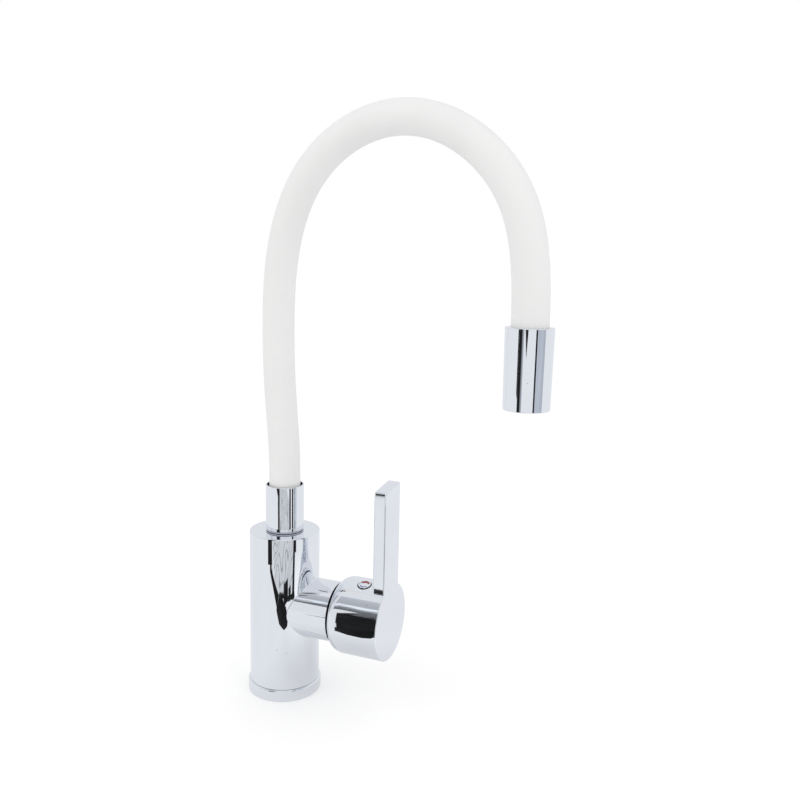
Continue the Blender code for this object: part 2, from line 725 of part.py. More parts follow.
def lever_outline():
    """The lever's face, from inside the cap up to its two rounded corners."""
    half = LEVER_WIDTH / 2
    root = CAP_RADIUS - 2 * CAP_WALL
    edge = [(-root, half), (-root, -half)]
    for side in (-1, 1):
        for step in range(CORNER_STEPS + 1):
            turn = math.pi / 2 * (step if side < 0 else CORNER_STEPS - step) / CORNER_STEPS
            x = -LEVER_HEIGHT + LEVER_CORNER * (1 - math.sin(turn))
            edge.append((x, side * (half - LEVER_CORNER * (1 - math.cos(turn)))))
    return edge


def cap_shell(outline):
    """The cap's closed skin, turned from its section in two parts that meet on the axis."""
    bm = bmesh.new()
    points = [bm.verts.new((radius, 0, height)) for radius, height in outline]
    on_axis = [index for index, (radius, _) in enumerate(outline) if not radius]
    pairs = [pair for pair in zip(range(len(points)), range(1, len(points))) if list(pair) != on_axis]
    pairs.append((len(points) - 1, 0))
    edges = [bm.edges.new((points[a], points[b])) for a, b in pairs]
    return turned(bm, points + edges, LARGE_SIDES)


def boss_height():
    """The boss starts where it still clears the nut when the lever is pulled right out."""
    nut_face = STACK["nut"][1] - PIVOT
    clear = (nut_face + BOSS_RADIUS * math.sin(FLOW_ANGLE)) / math.cos(FLOW_ANGLE)
    return clear + FIT


def plug(rocking, up):
    """The index plug on the cap's crest, with the grub screw under it."""
    low = CAP_RADIUS - PLUG_DEPTH + FIT
    top = CAP_RADIUS + PLUG_PROUD
    rim = PLUG_RADIUS - PLUG_RIM
    bezel = [
        (0, low),
        (PLUG_RADIUS, low),
        (PLUG_RADIUS, top - PLUG_PROUD / 2),
        (PLUG_RADIUS - PLUG_PROUD / 2, top),
        (rim, top),
        (rim, low + PLUG_FLOOR),
        (0, low + PLUG_FLOOR),
    ]
    piece("index_bezel", revolved(bezel, HIDDEN_SIDES), "chrome", rocking, up)
    for side, name, kind in ((1, "index_red", "red enamel"), (-1, "index_blue", "blue enamel")):
        turns = [math.pi * step / (SMALL_SIDES / 2) for step in range(int(SMALL_SIDES / 2) + 1)]
        radius = rim - FIT
        edge = [(radius * math.cos(turn), side * (FIT / 2 + radius * math.sin(turn) * rim_fit(radius))) for turn in turns]
        insert = extruded(edge, low + PLUG_FLOOR + FIT, top - PLUG_PROUD / 2)
        piece(name, insert, kind, rocking, up)
    screw = revolved(
        [
            (0, STEM_HALF_WIDTH + FIT),
            (GRUB_RADIUS, STEM_HALF_WIDTH + FIT),
            (GRUB_RADIUS, STEM_HALF_WIDTH + GRUB_LENGTH),
            (GRUB_KEY_RADIUS, STEM_HALF_WIDTH + GRUB_LENGTH),
            (GRUB_KEY_RADIUS, STEM_HALF_WIDTH + GRUB_LENGTH - GRUB_KEY_DEPTH),
            (0, STEM_HALF_WIDTH + GRUB_LENGTH - GRUB_KEY_DEPTH),
        ],
        SMALL_SIDES,
    )
    piece("grub_screw", screw, "steel", rocking, up)


def rim_fit(radius):
    """How much a half disc is drawn in so that its arc stays inside the bezel beside the gap along its straight edge."""
    return (radius - FIT / 2) / radius


def extruded(edge, low, high):
    """A flat outline of (x, y) points, raised from one height to another."""
    bm = bmesh.new()
    face = bm.faces.new([bm.verts.new((x, y, low)) for x, y in edge])
    raised = bmesh.ops.extrude_face_region(bm, geom=[face])
    for thing in raised["geom"]:
        if isinstance(thing, bmesh.types.BMVert):
            thing.co.z = high
    return finished(bm)


# Spout


def swivel(spout):
    """The stem that turns in the casting, its seals and clip, the slip washer and the collar."""
    foot_height = socket_floor() + FIT
    bore = STEM_TUBE_RADIUS - STEM_TUBE_WALL
    groove_floor = STEM_TUBE_RADIUS - O_RING_THICKNESS + O_RING_SQUEEZE
    half = O_RING_THICKNESS / 2 + FIT
    upper = BODY_HEIGHT - O_RING_FROM_TOP
    lower = upper - O_RING_SPREAD
    clip_low = socket_floor() + CLIP_HEIGHT
    clip_high = clip_low + CLIP_THICKNESS
    clip_floor = STEM_TUBE_RADIUS + CLIP_GROOVE_DEPTH - CLIP_WIDTH - FIT
    outline = [(bore, foot_height), (STEM_TUBE_RADIUS, foot_height)]
    outline += [(STEM_TUBE_RADIUS, clip_low - FIT), (clip_floor, clip_low - FIT)]
    outline += [(clip_floor, clip_high + FIT), (STEM_TUBE_RADIUS, clip_high + FIT)]
    for middle in (lower, upper):
        outline += [(STEM_TUBE_RADIUS, middle - half), (groove_floor - FIT, middle - half)]
        outline += [(groove_floor - FIT, middle + half), (STEM_TUBE_RADIUS, middle + half)]
    flange = COLLAR_RADIUS - COLLAR_WALL - FIT
    outline += [(STEM_TUBE_RADIUS, FLANGE_BOTTOM), (flange, FLANGE_BOTTOM), (flange, FLANGE_TOP), (bore, FLANGE_TOP)]
    piece("swivel_stem", revolved(outline, HIDDEN_SIDES), "brass", spout)
    for middle, name in ((lower, "lower"), (upper, "upper")):
        ring = seal_ring(groove_floor + O_RING_THICKNESS / 2, O_RING_THICKNESS, middle, SMALL_SIDES)
        piece(f"stem_o_ring_{name}", ring, "black rubber", spout)
    inner = clip_floor + FIT
    clip = split_ring(inner, inner + CLIP_WIDTH, clip_low, clip_high)
    piece("retaining_clip", clip, "steel", spout)
    hole = STEM_TUBE_RADIUS + FIT
    washer = tube(COLLAR_RADIUS - FIT, hole, BODY_HEIGHT + FIT, BODY_HEIGHT + FIT + SLIP_WASHER_THICKNESS, ROUND_SIDES)
    piece("slip_washer", washer, "white plastic", spout)
    inside = COLLAR_RADIUS - COLLAR_WALL
    collar = [
        (hole, COLLAR_BOTTOM),
        (COLLAR_RADIUS - COLLAR_EDGE, COLLAR_BOTTOM),
        (COLLAR_RADIUS, COLLAR_BOTTOM + COLLAR_EDGE),
        (COLLAR_RADIUS, COLLAR_RIM - COLLAR_EDGE),
        (COLLAR_RADIUS - COLLAR_EDGE, COLLAR_RIM),
        (inside, COLLAR_RIM),
        (inside, COLLAR_BOTTOM + COLLAR_FLOOR),
        (hole, COLLAR_BOTTOM + COLLAR_FLOOR),
    ]
    piece("collar", revolved(collar, ROUND_SIDES), "chrome", spout)


def split_ring(inner, outer, low, high):
    """A spring ring of square section with its mouth open towards -X."""
    steps = HIDDEN_SIDES
    half_mouth = CLIP_MOUTH / 2
    sweep = math.tau - 2 * half_mouth
    turns = [-math.pi + half_mouth + sweep * index / steps for index in range(steps + 1)]
    edge = [(outer * math.cos(turn), outer * math.sin(turn)) for turn in turns]
    edge += [(inner * math.cos(turn), inner * math.sin(turn)) for turn in reversed(turns)]
    return extruded(edge, low, high)


def fitting_outline(flange, bore_depth):
    """A hose end's section: a spigot below, a cup round the gooseneck's end above, and a barb up its middle."""
    cup_inner = GOOSENECK_RADIUS - GOOSENECK_VALLEY + FIT
    cup_outer = cup_inner + FERRULE_WALL
    barb = WATER_HOSE_RADIUS - WATER_HOSE_WALL - FIT
    bore = barb - BARB_WALL
    spigot = STEM_TUBE_RADIUS - STEM_TUBE_WALL - FIT
    return [
        (bore, -bore_depth),
        (spigot, -bore_depth),
        (spigot, 0),
        (flange, 0),
        (flange, FERRULE_FLOOR),
        (cup_outer, FERRULE_FLOOR),
        (cup_outer, FERRULE_DEPTH),
        (cup_inner, FERRULE_DEPTH),
        (cup_inner, FERRULE_FLOOR),
        (barb, FERRULE_FLOOR),
        (barb, BARB_LENGTH),
        (bore, BARB_LENGTH),
    ]


def hose_ends(spout, nozzle):
    """The brass ends: one screwed into the swivel stem, the other into the nozzle."""
    cup_outer = GOOSENECK_RADIUS - GOOSENECK_VALLEY + FIT + FERRULE_WALL
    place = Matrix.Translation((0, 0, FLANGE_TOP + FIT))
    foot_fitting = revolved(fitting_outline(cup_outer, SPIGOT_LENGTH), SMALL_SIDES)
    piece("hose_foot_fitting", foot_fitting, "brass", spout, place)
    place = Matrix.Translation((0, 0, -TIP_DEPTH - FERRULE_FLOOR))
    tip = fitting_outline(NOZZLE_BORE - FIT, TIP_FLANGE)
    piece("hose_tip_fitting", revolved(tip, SMALL_SIDES), "brass", nozzle, place)


def hose_start():
    """The distance at which the hose's layers stand on the foot fitting, below the collar's rim."""
    return FLANGE_TOP + FIT + FERRULE_FLOOR + FIT - COLLAR_RIM


def gooseneck(spout, links, nozzle):
    """The wound gooseneck in short lengths, one between each pair of hinges, ribbed as its turns are."""
    hinges = hinge_distances()
    half = LINK_GAP / 2
    valley = GOOSENECK_RADIUS - GOOSENECK_VALLEY
    pitch = (hinges[1] - hinges[0] - LINK_GAP) / GOOSENECK_RIBS

    def length(name, start, end, parent, plain_start=0, plain_end=0):
        first, last = start + plain_start, end - plain_end
        ribs = max(round((last - first) / pitch), 1)
        distances = [first + (last - first) * index / (2 * ribs) for index in range(2 * ribs + 1)]
        outer = [(place, GOOSENECK_RADIUS if index % 2 else valley) for index, place in enumerate(distances)]
        if plain_start:
            outer.insert(0, (start, valley))
        if plain_end:
            outer.append((end, valley))
        inner = [(place, GOOSENECK_BORE) for place in spaced(start, end, SLEEVE_STEP)]
        mesh = swept(outer, inner, GOOSENECK_SIDES)
        mesh.transform(parent.matrix_world.inverted() @ spout.matrix_world)
        piece(name, mesh, "steel", parent)

    cup = FERRULE_DEPTH - FERRULE_FLOOR
    length("gooseneck_foot", hose_start(), hinges[0] - half, spout, plain_start=cup)
    for index, link in enumerate(links):
        length(f"gooseneck_{index + 1:02d}", hinges[index] + half, hinges[index + 1] - half, link)
    end = HOSE_LENGTH + TIP_DEPTH - FIT
    length("gooseneck_tip", hinges[-1] + half, end, nozzle, plain_end=cup)


def hose_layers(spout):
    """The water hose up the middle, and the silicone sleeve over the gooseneck."""
    stem_top = FLANGE_TOP + FIT - COLLAR_RIM
    flange = HOSE_LENGTH + TIP_DEPTH
    start, end = hose_start(), flange - FIT
    places = spaced(start, end, SLEEVE_STEP)
    bore = WATER_HOSE_RADIUS - WATER_HOSE_WALL
    mesh = swept([(s, WATER_HOSE_RADIUS) for s in places], [(s, bore) for s in places], WATER_HOSE_SIDES)
    piece("water_hose", mesh, "water hose", spout)
    inner = HOSE_RADIUS - SLEEVE_WALL
    places = spaced(stem_top, end, SLEEVE_STEP)
    mesh = swept([(s, HOSE_RADIUS) for s in places], [(s, inner) for s in places], HOSE_SIDES)
    piece("hose_sleeve", mesh, "white silicone", spout)


# Nozzle: its frame's origin is the middle of its top, and Z points back along the hose


def nozzle_shell(nozzle):
    """The chromed sleeve, open below, with a lip round the hose above and the seat for the aerator's washer inside."""
    seat = -NOZZLE_LENGTH + AERATOR_RECESS + AERATOR_HEIGHT + FIT + AERATOR_WASHER_THICKNESS + FIT
    seat_radius = NOZZLE_BORE - SHOULDER_WIDTH
    mouth = HOSE_RADIUS + FIT
    outline = [
        (mouth, -NOZZLE_TOP_WALL),
        (mouth, 0),
        (NOZZLE_TOP_RADIUS - NOZZLE_EDGE, 0),
        (NOZZLE_TOP_RADIUS, -NOZZLE_EDGE),
        (NOZZLE_BOTTOM_RADIUS, -NOZZLE_LENGTH + NOZZLE_EDGE),
        (NOZZLE_BOTTOM_RADIUS - NOZZLE_EDGE, -NOZZLE_LENGTH),
        (NOZZLE_BORE, -NOZZLE_LENGTH),
        (NOZZLE_BORE, seat),
        (seat_radius, seat),
        (seat_radius, seat + SHOULDER_RING),
        (NOZZLE_BORE, seat + SHOULDER_RING),
        (NOZZLE_BORE, -NOZZLE_TOP_WALL),
    ]
    piece("nozzle_sleeve", revolved(outline, ROUND_SIDES), "chrome", nozzle)


def aerator(nozzle):
    """The aerator: washer, screen and outlet insert in their threaded housing."""
    low = -NOZZLE_LENGTH + AERATOR_RECESS
    high = low + AERATOR_HEIGHT
    outer = NOZZLE_BORE - FIT
    inner = outer - AERATOR_WALL
    mouth = inner - AERATOR_LIP_WIDTH
    outline = [
        (mouth, low),
        (outer, low),
        (outer, high),
        (inner, high),
        (inner, low + AERATOR_LIP),
        (mouth, low + AERATOR_LIP),
    ]
    piece("aerator_housing", revolved(outline, ROUND_SIDES), "chrome", nozzle)
    washer = tube(outer, outer - AERATOR_WASHER_WIDTH, high + FIT, high + FIT + AERATOR_WASHER_THICKNESS, HIDDEN_SIDES)
    piece("aerator_washer", washer, "black rubber", nozzle)
    screen_low = high - SCREEN_THICKNESS
    disc_radius = inner - FIT
    perforated("aerator_screen", disc_radius, screen_low, high, SCREEN_HOLE_SHARE, "steel", nozzle)
    insert_low = low + AERATOR_LIP + FIT
    perforated("aerator_insert", disc_radius, insert_low, screen_low - FIT, INSERT_HOLE_SHARE, "white plastic", nozzle)


def perforated(name, radius, low, high, hole_share, kind, parent):
    """A disc with rings of six-sided holes round a middle one."""
    disc = piece(name, rod(radius, low, high, HIDDEN_SIDES), kind, parent)
    pitch = radius / (AERATOR_HOLE_RINGS + 1)
    hole_radius = pitch * hole_share
    bm = bmesh.new()
    places = [(0, 0)]
    for ring in range(1, AERATOR_HOLE_RINGS + 1):
        turns = [math.tau * index / (6 * ring) for index in range(6 * ring)]
        places += [(ring * pitch * math.cos(turn), ring * pitch * math.sin(turn)) for turn in turns]
    for x, y in places:
        bmesh.ops.create_cone(
            bm,
            cap_ends=True,
            segments=6,
            radius1=hole_radius,
            radius2=hole_radius,
            depth=high - low + 2 * OVERRUN,
            matrix=Matrix.Translation((x, y, (low + high) / 2)),
        )
    combine(disc, [cutter(f"{name}_holes", finished(bm), parent)], "DIFFERENCE")


def main():
    clear_scene()
    base = anchor("deck")
    branch = anchor("branch_axis", base, Matrix.Translation((0, 0, BRANCH_HEIGHT)) @ Matrix.Rotation(math.pi / 2, 4, "Y"))
    rocking = anchor("pivot_axis", branch, Matrix.Translation((0, 0, PIVOT)))
    spout = anchor("spout_axis", base, Matrix.Rotation(SPOUT_TURN, 4, "Z"))
    links = [
        anchor(f"hose_hinge_{index + 1:02d}", spout, hose_frame(distance))
        for index, distance in enumerate(hinge_distances()[:-1])
    ]
    end = hose_frame(HOSE_LENGTH) @ Matrix.Rotation(math.pi, 4, "X")
    nozzle = anchor("nozzle_top", spout, end)
    bpy.context.view_layer.update()

    body_casting(base, branch)
    foot(base)
    cartridge_shell(branch)
    retaining_nut(branch)
    mixer(branch)
    slider(branch)
    control_stem(rocking)
    handle(rocking)
    swivel(spout)
    hose_ends(spout, nozzle)
    gooseneck(spout, links, nozzle)
    hose_layers(spout)
    nozzle_shell(nozzle)
    aerator(nozzle)
    bpy.context.view_layer.update()


main()
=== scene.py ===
"""A kitchen faucet with a white flexible hose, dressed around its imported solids.

Metres, +Z up, the same frame as the solids. Every finished piece keeps its place in its mesh.
"""

import json
import math

import bpy
from mathutils import Matrix, Vector
from mathutils.bvhtree import BVHTree
from mathutils.geometry import tessellate_polygon

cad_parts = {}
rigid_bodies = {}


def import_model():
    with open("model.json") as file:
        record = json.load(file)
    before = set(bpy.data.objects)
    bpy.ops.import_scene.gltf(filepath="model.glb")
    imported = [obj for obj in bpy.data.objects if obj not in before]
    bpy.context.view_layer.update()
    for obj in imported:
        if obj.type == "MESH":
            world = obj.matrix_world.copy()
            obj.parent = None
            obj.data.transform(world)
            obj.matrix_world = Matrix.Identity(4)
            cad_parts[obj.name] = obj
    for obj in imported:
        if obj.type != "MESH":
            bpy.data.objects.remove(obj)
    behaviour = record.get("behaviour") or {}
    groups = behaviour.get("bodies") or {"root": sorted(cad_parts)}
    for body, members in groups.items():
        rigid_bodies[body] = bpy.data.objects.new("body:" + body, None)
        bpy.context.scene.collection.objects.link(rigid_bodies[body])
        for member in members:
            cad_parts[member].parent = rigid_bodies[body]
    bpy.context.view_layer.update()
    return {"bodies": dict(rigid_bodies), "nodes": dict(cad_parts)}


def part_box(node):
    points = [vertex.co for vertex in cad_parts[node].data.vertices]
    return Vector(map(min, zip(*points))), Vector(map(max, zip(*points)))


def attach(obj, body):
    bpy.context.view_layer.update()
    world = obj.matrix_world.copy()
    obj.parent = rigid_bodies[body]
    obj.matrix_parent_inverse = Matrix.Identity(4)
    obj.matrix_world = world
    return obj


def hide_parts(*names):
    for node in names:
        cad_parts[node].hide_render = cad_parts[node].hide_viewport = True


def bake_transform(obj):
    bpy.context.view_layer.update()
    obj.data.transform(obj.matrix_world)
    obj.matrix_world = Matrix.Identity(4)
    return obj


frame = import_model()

bl_info = {
    "name": "Flexible kitchen faucet",
    "version": (1, 0, 0),
    "blender": (4, 5, 0),
    "location": "3D View > Sidebar > Faucet",
    "description": "Dresses the solids of a faucet with a white flexible hose, and sets its stage",
    "category": "Object",
}

# The gap between pieces that fit, the rounding of plain edges, and the grid on which corners are merged
FIT = 0.0003
TRIM_ROUND = 0.0002
MERGED_PER_METRE = 1e7

# How finely round forms are made
TURNED_SIDES = 192
SMALL_SIDES = 64
ROUND_STEPS = 5

# Where a face of a joined mesh looks for the surface it came from, and how alike the two have to face
PROBE_SHARE = 0.02
SAME_FACING = 0.97

WHITE = (1.0, 1.0, 1.0, 1.0)


def length(name, description, default):
    return bpy.props.FloatProperty(
        name=name, description=description, default=default, unit="LENGTH", subtype="DISTANCE", precision=5
    )


def angle(name, description, degrees):
    return bpy.props.FloatProperty(
        name=name, description=description, default=math.radians(degrees), unit="ROTATION", subtype="ANGLE"
    )


def share(name, description, default):
    return bpy.props.FloatProperty(
        name=name, description=description, default=default, min=0.0, max=1.0, subtype="FACTOR", precision=4
    )


def amount(name, description, default):
    return bpy.props.FloatProperty(name=name, description=description, default=default, min=0.0, precision=4)


def colour(name, description, default):
    return bpy.props.FloatVectorProperty(
        name=name, description=description, default=default, min=0.0, max=1.0, size=3, subtype="COLOR"
    )


class FAUCET_PG_body(bpy.types.PropertyGroup):
    """Sizes of the upright, its branch and its foot."""

    radius: length("Upright radius", "Outer radius of the upright", 0.025)
    height: length("Upright height", "Height of the top face above the deck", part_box("body_casting")[1].z)
    top_edge: length("Top edge", "Rounding of the upright's top edge", 0.0007)
    branch_height: length("Branch height", "Height of the branch's axis above the deck", 0.0649)
    branch_radius: length("Branch radius", "Outer radius of the branch", 0.0211)
    branch_reach: length("Branch reach", "Distance of the branch's end from the upright's axis", 0.0440)
    branch_edge: length("Branch edge", "Rounding of the branch's end", 0.0005)
    join_radius: length("Join radius", "Radius of the fillet where the branch leaves the upright", 0.0007)
    spigot_radius: length("Spigot radius", "Radius of the upright's foot inside the foot ring", 0.0235)
    ring_height: length("Foot ring height", "Height of the foot ring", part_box("foot_ring")[1].z)
    ring_radius: length("Foot ring radius", "Outer radius of the foot ring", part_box("foot_ring")[1].x)
    ring_edge: length("Foot ring edge", "Rounding of the foot ring's upper edge", 0.0012)
    socket_radius: length("Socket radius", "Radius of the swivel's socket", 0.0106)
    socket_depth: length("Socket depth", "Depth of the swivel's socket", 0.027)
    nut_radius: length("Nut seat radius", "Radius of the thread for the ring nut", 0.019)
    chamber_radius: length("Chamber radius", "Radius of the cartridge's chamber", 0.0178)
    inlet_radius: length("Inlet radius", "Radius of the two hose inlets underneath", 0.005)
    inlet_depth: length("Inlet depth", "Depth of the two hose inlets", 0.014)
    stud_radius: length("Stud radius", "Radius of the fixing stud's socket underneath", 0.004)
    stud_offset: length("Stud offset", "How far the stud's socket is from the upright's axis", 0.0118)
    gasket_radius: length("Gasket radius", "Middle radius of the gasket's groove underneath", 0.0202)
    gasket_width: length("Gasket groove width", "Width of the gasket's groove", 0.0032)


class FAUCET_PG_handle(bpy.types.PropertyGroup):
    """Sizes of the cap, its lever and the index plug."""

    cap_start: length("Cap start", "Distance of the cap's back edge from the upright's axis", 0.0454)
    cap_face: length("Cap face", "Distance of the cap's face from the upright's axis", 0.084)
    cap_radius: length("Cap radius", "Outer radius of the cap", 0.0269)
    cap_flare: length("Cap flare", "How much the shoulder widens", 0.0058)
    cap_shoulder: length("Cap shoulder", "Length of the rounded shoulder", 0.0088)
    cap_edge: length("Cap edge", "Rounding round the cap's face", 0.0006)
    cap_wall: length("Cap wall", "Thickness of the cap's skirt", 0.0018)
    face_wall: length("Face wall", "Thickness of the cap's face", 0.004)
    lever_top: length("Lever top", "Height of the lever's top above the deck at its near edge", 0.1602)
    lever_width: length("Lever width", "Width of the lever", 0.0252)
    lever_thickness: length("Lever thickness", "Thickness of the lever", 0.0090)
    lever_rise: length("Lever rise", "How much higher the lever's top is at its far edge", 0.0028)
    lever_corner: length("Lever corner", "Rounding of the lever's two top corners", 0.0022)
    lever_edge: length("Lever edge", "Rounding of the lever's long edges", 0.0012)
    plug_place: length("Plug place", "Distance of the index plug from the upright's axis", 0.0662)
    plug_turn: angle("Plug turn", "How far round the cap the plug sits, from the top towards the front", 12.8)
    plug_radius: length("Plug radius", "Outer radius of the index plug", 0.0044)
    plug_depth: length("Plug depth", "How deep the plug sits in the cap", 0.0028)
    plug_proud: length("Plug proud", "How far the plug stands out of the cap", 0.0007)
    plug_rim: length("Plug rim", "Width of the plug's ring", 0.0007)
    # The dark ring round the plug is partly a sealing ring and partly painted shadow of the gap round the
    # plug
    plug_seal: length("Plug seal", "Width of the dark ring round the plug", 0.0007)
    mark_inner: length("Mark inner radius", "Inner radius of the two coloured arcs", 0.0025)
    mark_span: angle("Mark span", "How far round each coloured arc reaches", 104.0)
    plug_floor: length("Plug floor", "Thickness of the plug under its marks", 0.0026)


class FAUCET_PG_hose(bpy.types.PropertyGroup):
    """Sizes of the hose and of the collar it stands in."""

    spout_turn: angle("Spout turn", "How far the spout is turned from the branch", -11.2)
    visible_length: length("Visible length", "Length of hose between the collar and the nozzle", 0.4718)
    radius: length("Hose radius", "Outer radius of the sleeve", 0.011)
    wall: length("Sleeve wall", "Thickness of the silicone sleeve", 0.0016)
    water_radius: length("Water hose radius", "Outer radius of the inner hose", 0.005)
    water_wall: length("Water hose wall", "Wall of the inner hose", 0.0015)
    ring_step: length("Ring step", "Distance between the rings of the hose's mesh", 0.0016)
    first_hinge: length("First hinge", "Distance of the first bend from the collar's rim", 0.022)
    last_hinge: length("Last hinge", "Distance of the last bend from the nozzle", 0.016)
    bend_inset: length("Bend inset", "Stretch at each end of a piece of hose that stays rigid", 0.0025)
    collar_radius: length("Collar radius", "Outer radius of the collar", 0.0136)
    collar_wall: length("Collar wall", "Wall of the collar", 0.001)
    collar_floor: length("Collar floor", "Thickness of the collar's floor", 0.002)
    collar_edge: length("Collar edge", "Rounding of the collar's edges", 0.0003)


class FAUCET_PG_nozzle(bpy.types.PropertyGroup):
    """Sizes of the nozzle and the aerator in it."""

    top_radius: length("Top radius", "Outer radius at the nozzle's top", 0.0143)
    bottom_radius: length("Bottom radius", "Outer radius at the nozzle's mouth", 0.0138)
    wall: length("Nozzle wall", "Wall of the nozzle", 0.0014)
    top_wall: length("Top wall", "Thickness of the nozzle's top", 0.0016)
    edge: length("Nozzle edge", "Rounding of the nozzle's edges", 0.0004)
    seat_width: length("Seat width", "Width of the seat for the aerator's washer", 0.002)
    seat_height: length("Seat height", "Height of the washer's seat", 0.0025)
    cage_wall: length("Cage wall", "Wall of the ring round the comb", 0.0012)
    comb_pitch: length("Comb pitch", "Distance between the comb's cells", 0.0017)
    comb_open: share("Comb opening", "Open share of each cell of the comb", 0.74)
    comb_depth: length("Comb depth", "Thickness of the comb", 0.0024)


class FAUCET_PG_finish(bpy.types.PropertyGroup):
    """Colours and roughness of the surfaces that show."""

    chrome: colour("Chrome", "Colour of the plating", (0.86, 0.88, 0.915))
    chrome_roughness: share("Chrome roughness", "Roughness of the polished plating", 0.035)
    silicone: colour("Silicone", "Colour of the sleeve", (0.865, 0.863, 0.858))
    silicone_roughness: share("Silicone roughness", "Roughness of the sleeve", 0.52)
    ring_plastic: colour("Bearing ring", "Colour of the ring under the collar", (0.58, 0.61, 0.68))
    red: colour("Hot mark", "Colour of the plug's hot mark", (0.40, 0.03, 0.04))
    blue: colour("Cold mark", "Colour of the plug's cold mark", (0.03, 0.08, 0.34))


class FAUCET_PG_stage(bpy.types.PropertyGroup):
    """Camera, light and floor."""

    camera_place: bpy.props.FloatVectorProperty(
        name="Camera place",
        description="Where the camera stands",
        default=(0.2865, -0.5009, 0.3099),
        size=3,
        unit="LENGTH",
        subtype="TRANSLATION",
    )
    heading: angle("Camera heading", "The camera's heading, clockwise from +Y", -21.71)
    pitch: angle("Camera pitch", "How far the camera looks down", 9.3137)
    roll: angle("Camera roll", "How far the camera is rolled", 1.3038)
    lens: bpy.props.FloatProperty(
        name="Lens", description="Focal length", default=37.086, unit="CAMERA", subtype="NONE"
    )
    white: amount("Background", "Brightness of the backdrop in the picture", 1.0)
    mirrored: colour("Mirrored surround", "What polished metal sees round it", (0.80, 0.815, 0.845))
    surround: amount("Surround light", "Brightness of the even light from all round", 0.93)
    key: amount("Key light", "Power of the large light at the upper left, in watts", 2.2)
    fill: amount("Fill light", "Power of the light at the right, in watts", 1.4)


# Node trees


class Wire:
    """A socket that Python's operators work on: an expression adds its Math nodes."""

    def __init__(self, tree, socket):
        self.tree = tree
        self.socket = socket

    def math(self, operation, *values):
        return self.tree.math(operation, self, *values)

    def __add__(self, other):
        return self.math("ADD", other)

    __radd__ = __add__

    def __sub__(self, other):
        return self.math("SUBTRACT", other)

    def __rsub__(self, other):
        return self.tree.math("SUBTRACT", other, self)

    def __mul__(self, other):
        return self.math("MULTIPLY", other)

    __rmul__ = __mul__

    def __truediv__(self, other):
        return self.math("DIVIDE", other)

    def __rtruediv__(self, other):
        return self.tree.math("DIVIDE", other, self)

    def __pow__(self, other):
        return self.math("POWER", other)


class Tree:
    """A node tree to which nodes are added by kind, settings and sockets."""

    def __init__(self, tree):
        self.tree = tree

    def node(self, kind, settings=None, sockets=None):
        """Adds a node: its settings first, then the value or link of each named or numbered socket."""
        node = self.tree.nodes.new(kind)
        for name, value in (settings or {}).items():
            if name == "stops":
                self.set_stops(node.color_ramp, value)
            else:
                setattr(node, name, value)
        for name, value in (sockets or {}).items():
            self.feed(node.inputs[name], value)
        return node

    def set_stops(self, ramp, stops):
        while len(ramp.elements) < len(stops):
            ramp.elements.new(1.0)
        for element, (place, shade) in zip(ramp.elements, stops):
            element.position = place
            element.color = (shade, shade, shade, 1.0)

    def feed(self, socket, value):
        """Sets a socket's value, or links it; a node stands for its first output."""
        source = value.socket if isinstance(value, Wire) else value
        if isinstance(source, bpy.types.Node):
            source = source.outputs[0]
        if isinstance(source, bpy.types.NodeSocket):
            self.tree.links.new(source, socket)
        else:
            socket.default_value = source

    def feed_in_turn(self, node, *values):
        """Feeds a node's live inputs in their order, and gives its live output."""
        for socket, value in zip([socket for socket in node.inputs if socket.enabled], values):
            self.feed(socket, value)
        return Wire(self, next(socket for socket in node.outputs if socket.enabled))

    def wire(self, node, output=0):
        return Wire(self, node.outputs[output])

    def math(self, operation, *values):
        return self.wire(self.node("ShaderNodeMath", {"operation": operation}, dict(enumerate(values))))

    def vector(self, operation, *values):
        return self.feed_in_turn(self.node("ShaderNodeVectorMath", {"operation": operation}), *values)

    def mixed_shader(self, mask, first, second):
        return self.node("ShaderNodeMixShader", None, {0: mask, 1: first, 2: second})


class Shaper(Tree):
    """Geometry nodes with named inputs, which end in real geometry with its material."""

    def __init__(self, name, *inputs):
        super().__init__(bpy.data.node_groups.new(name, "GeometryNodeTree"))
        for label, kind in (("Geometry", "Geometry"), *inputs, ("Material", "Material")):
            self.tree.interface.new_socket(label, in_out="INPUT", socket_type="NodeSocket" + kind)
        self.tree.interface.new_socket("Geometry", in_out="OUTPUT", socket_type="NodeSocketGeometry")
        self.given = self.node("NodeGroupInput").outputs

    def end(self, geometry):
        real = self.node("GeometryNodeRealizeInstances", None, {0: geometry})
        sockets = {"Geometry": real, "Material": self.given["Material"]}
        self.node("NodeGroupOutput", None, {0: self.node("GeometryNodeSetMaterial", None, sockets)})

    def shaped(self, mesh, values):
        """A mesh put through the nodes, whose inputs are set by their identifiers."""
        piece = placed(mesh.name, mesh)
        modifier = piece.modifiers.new("shape", "NODES")
        modifier.node_group = self.tree
        for item in self.tree.interface.items_tree:
            if item.in_out == "INPUT" and item.name in values:
                modifier[item.identifier] = values[item.name]
        return worked_out(piece)


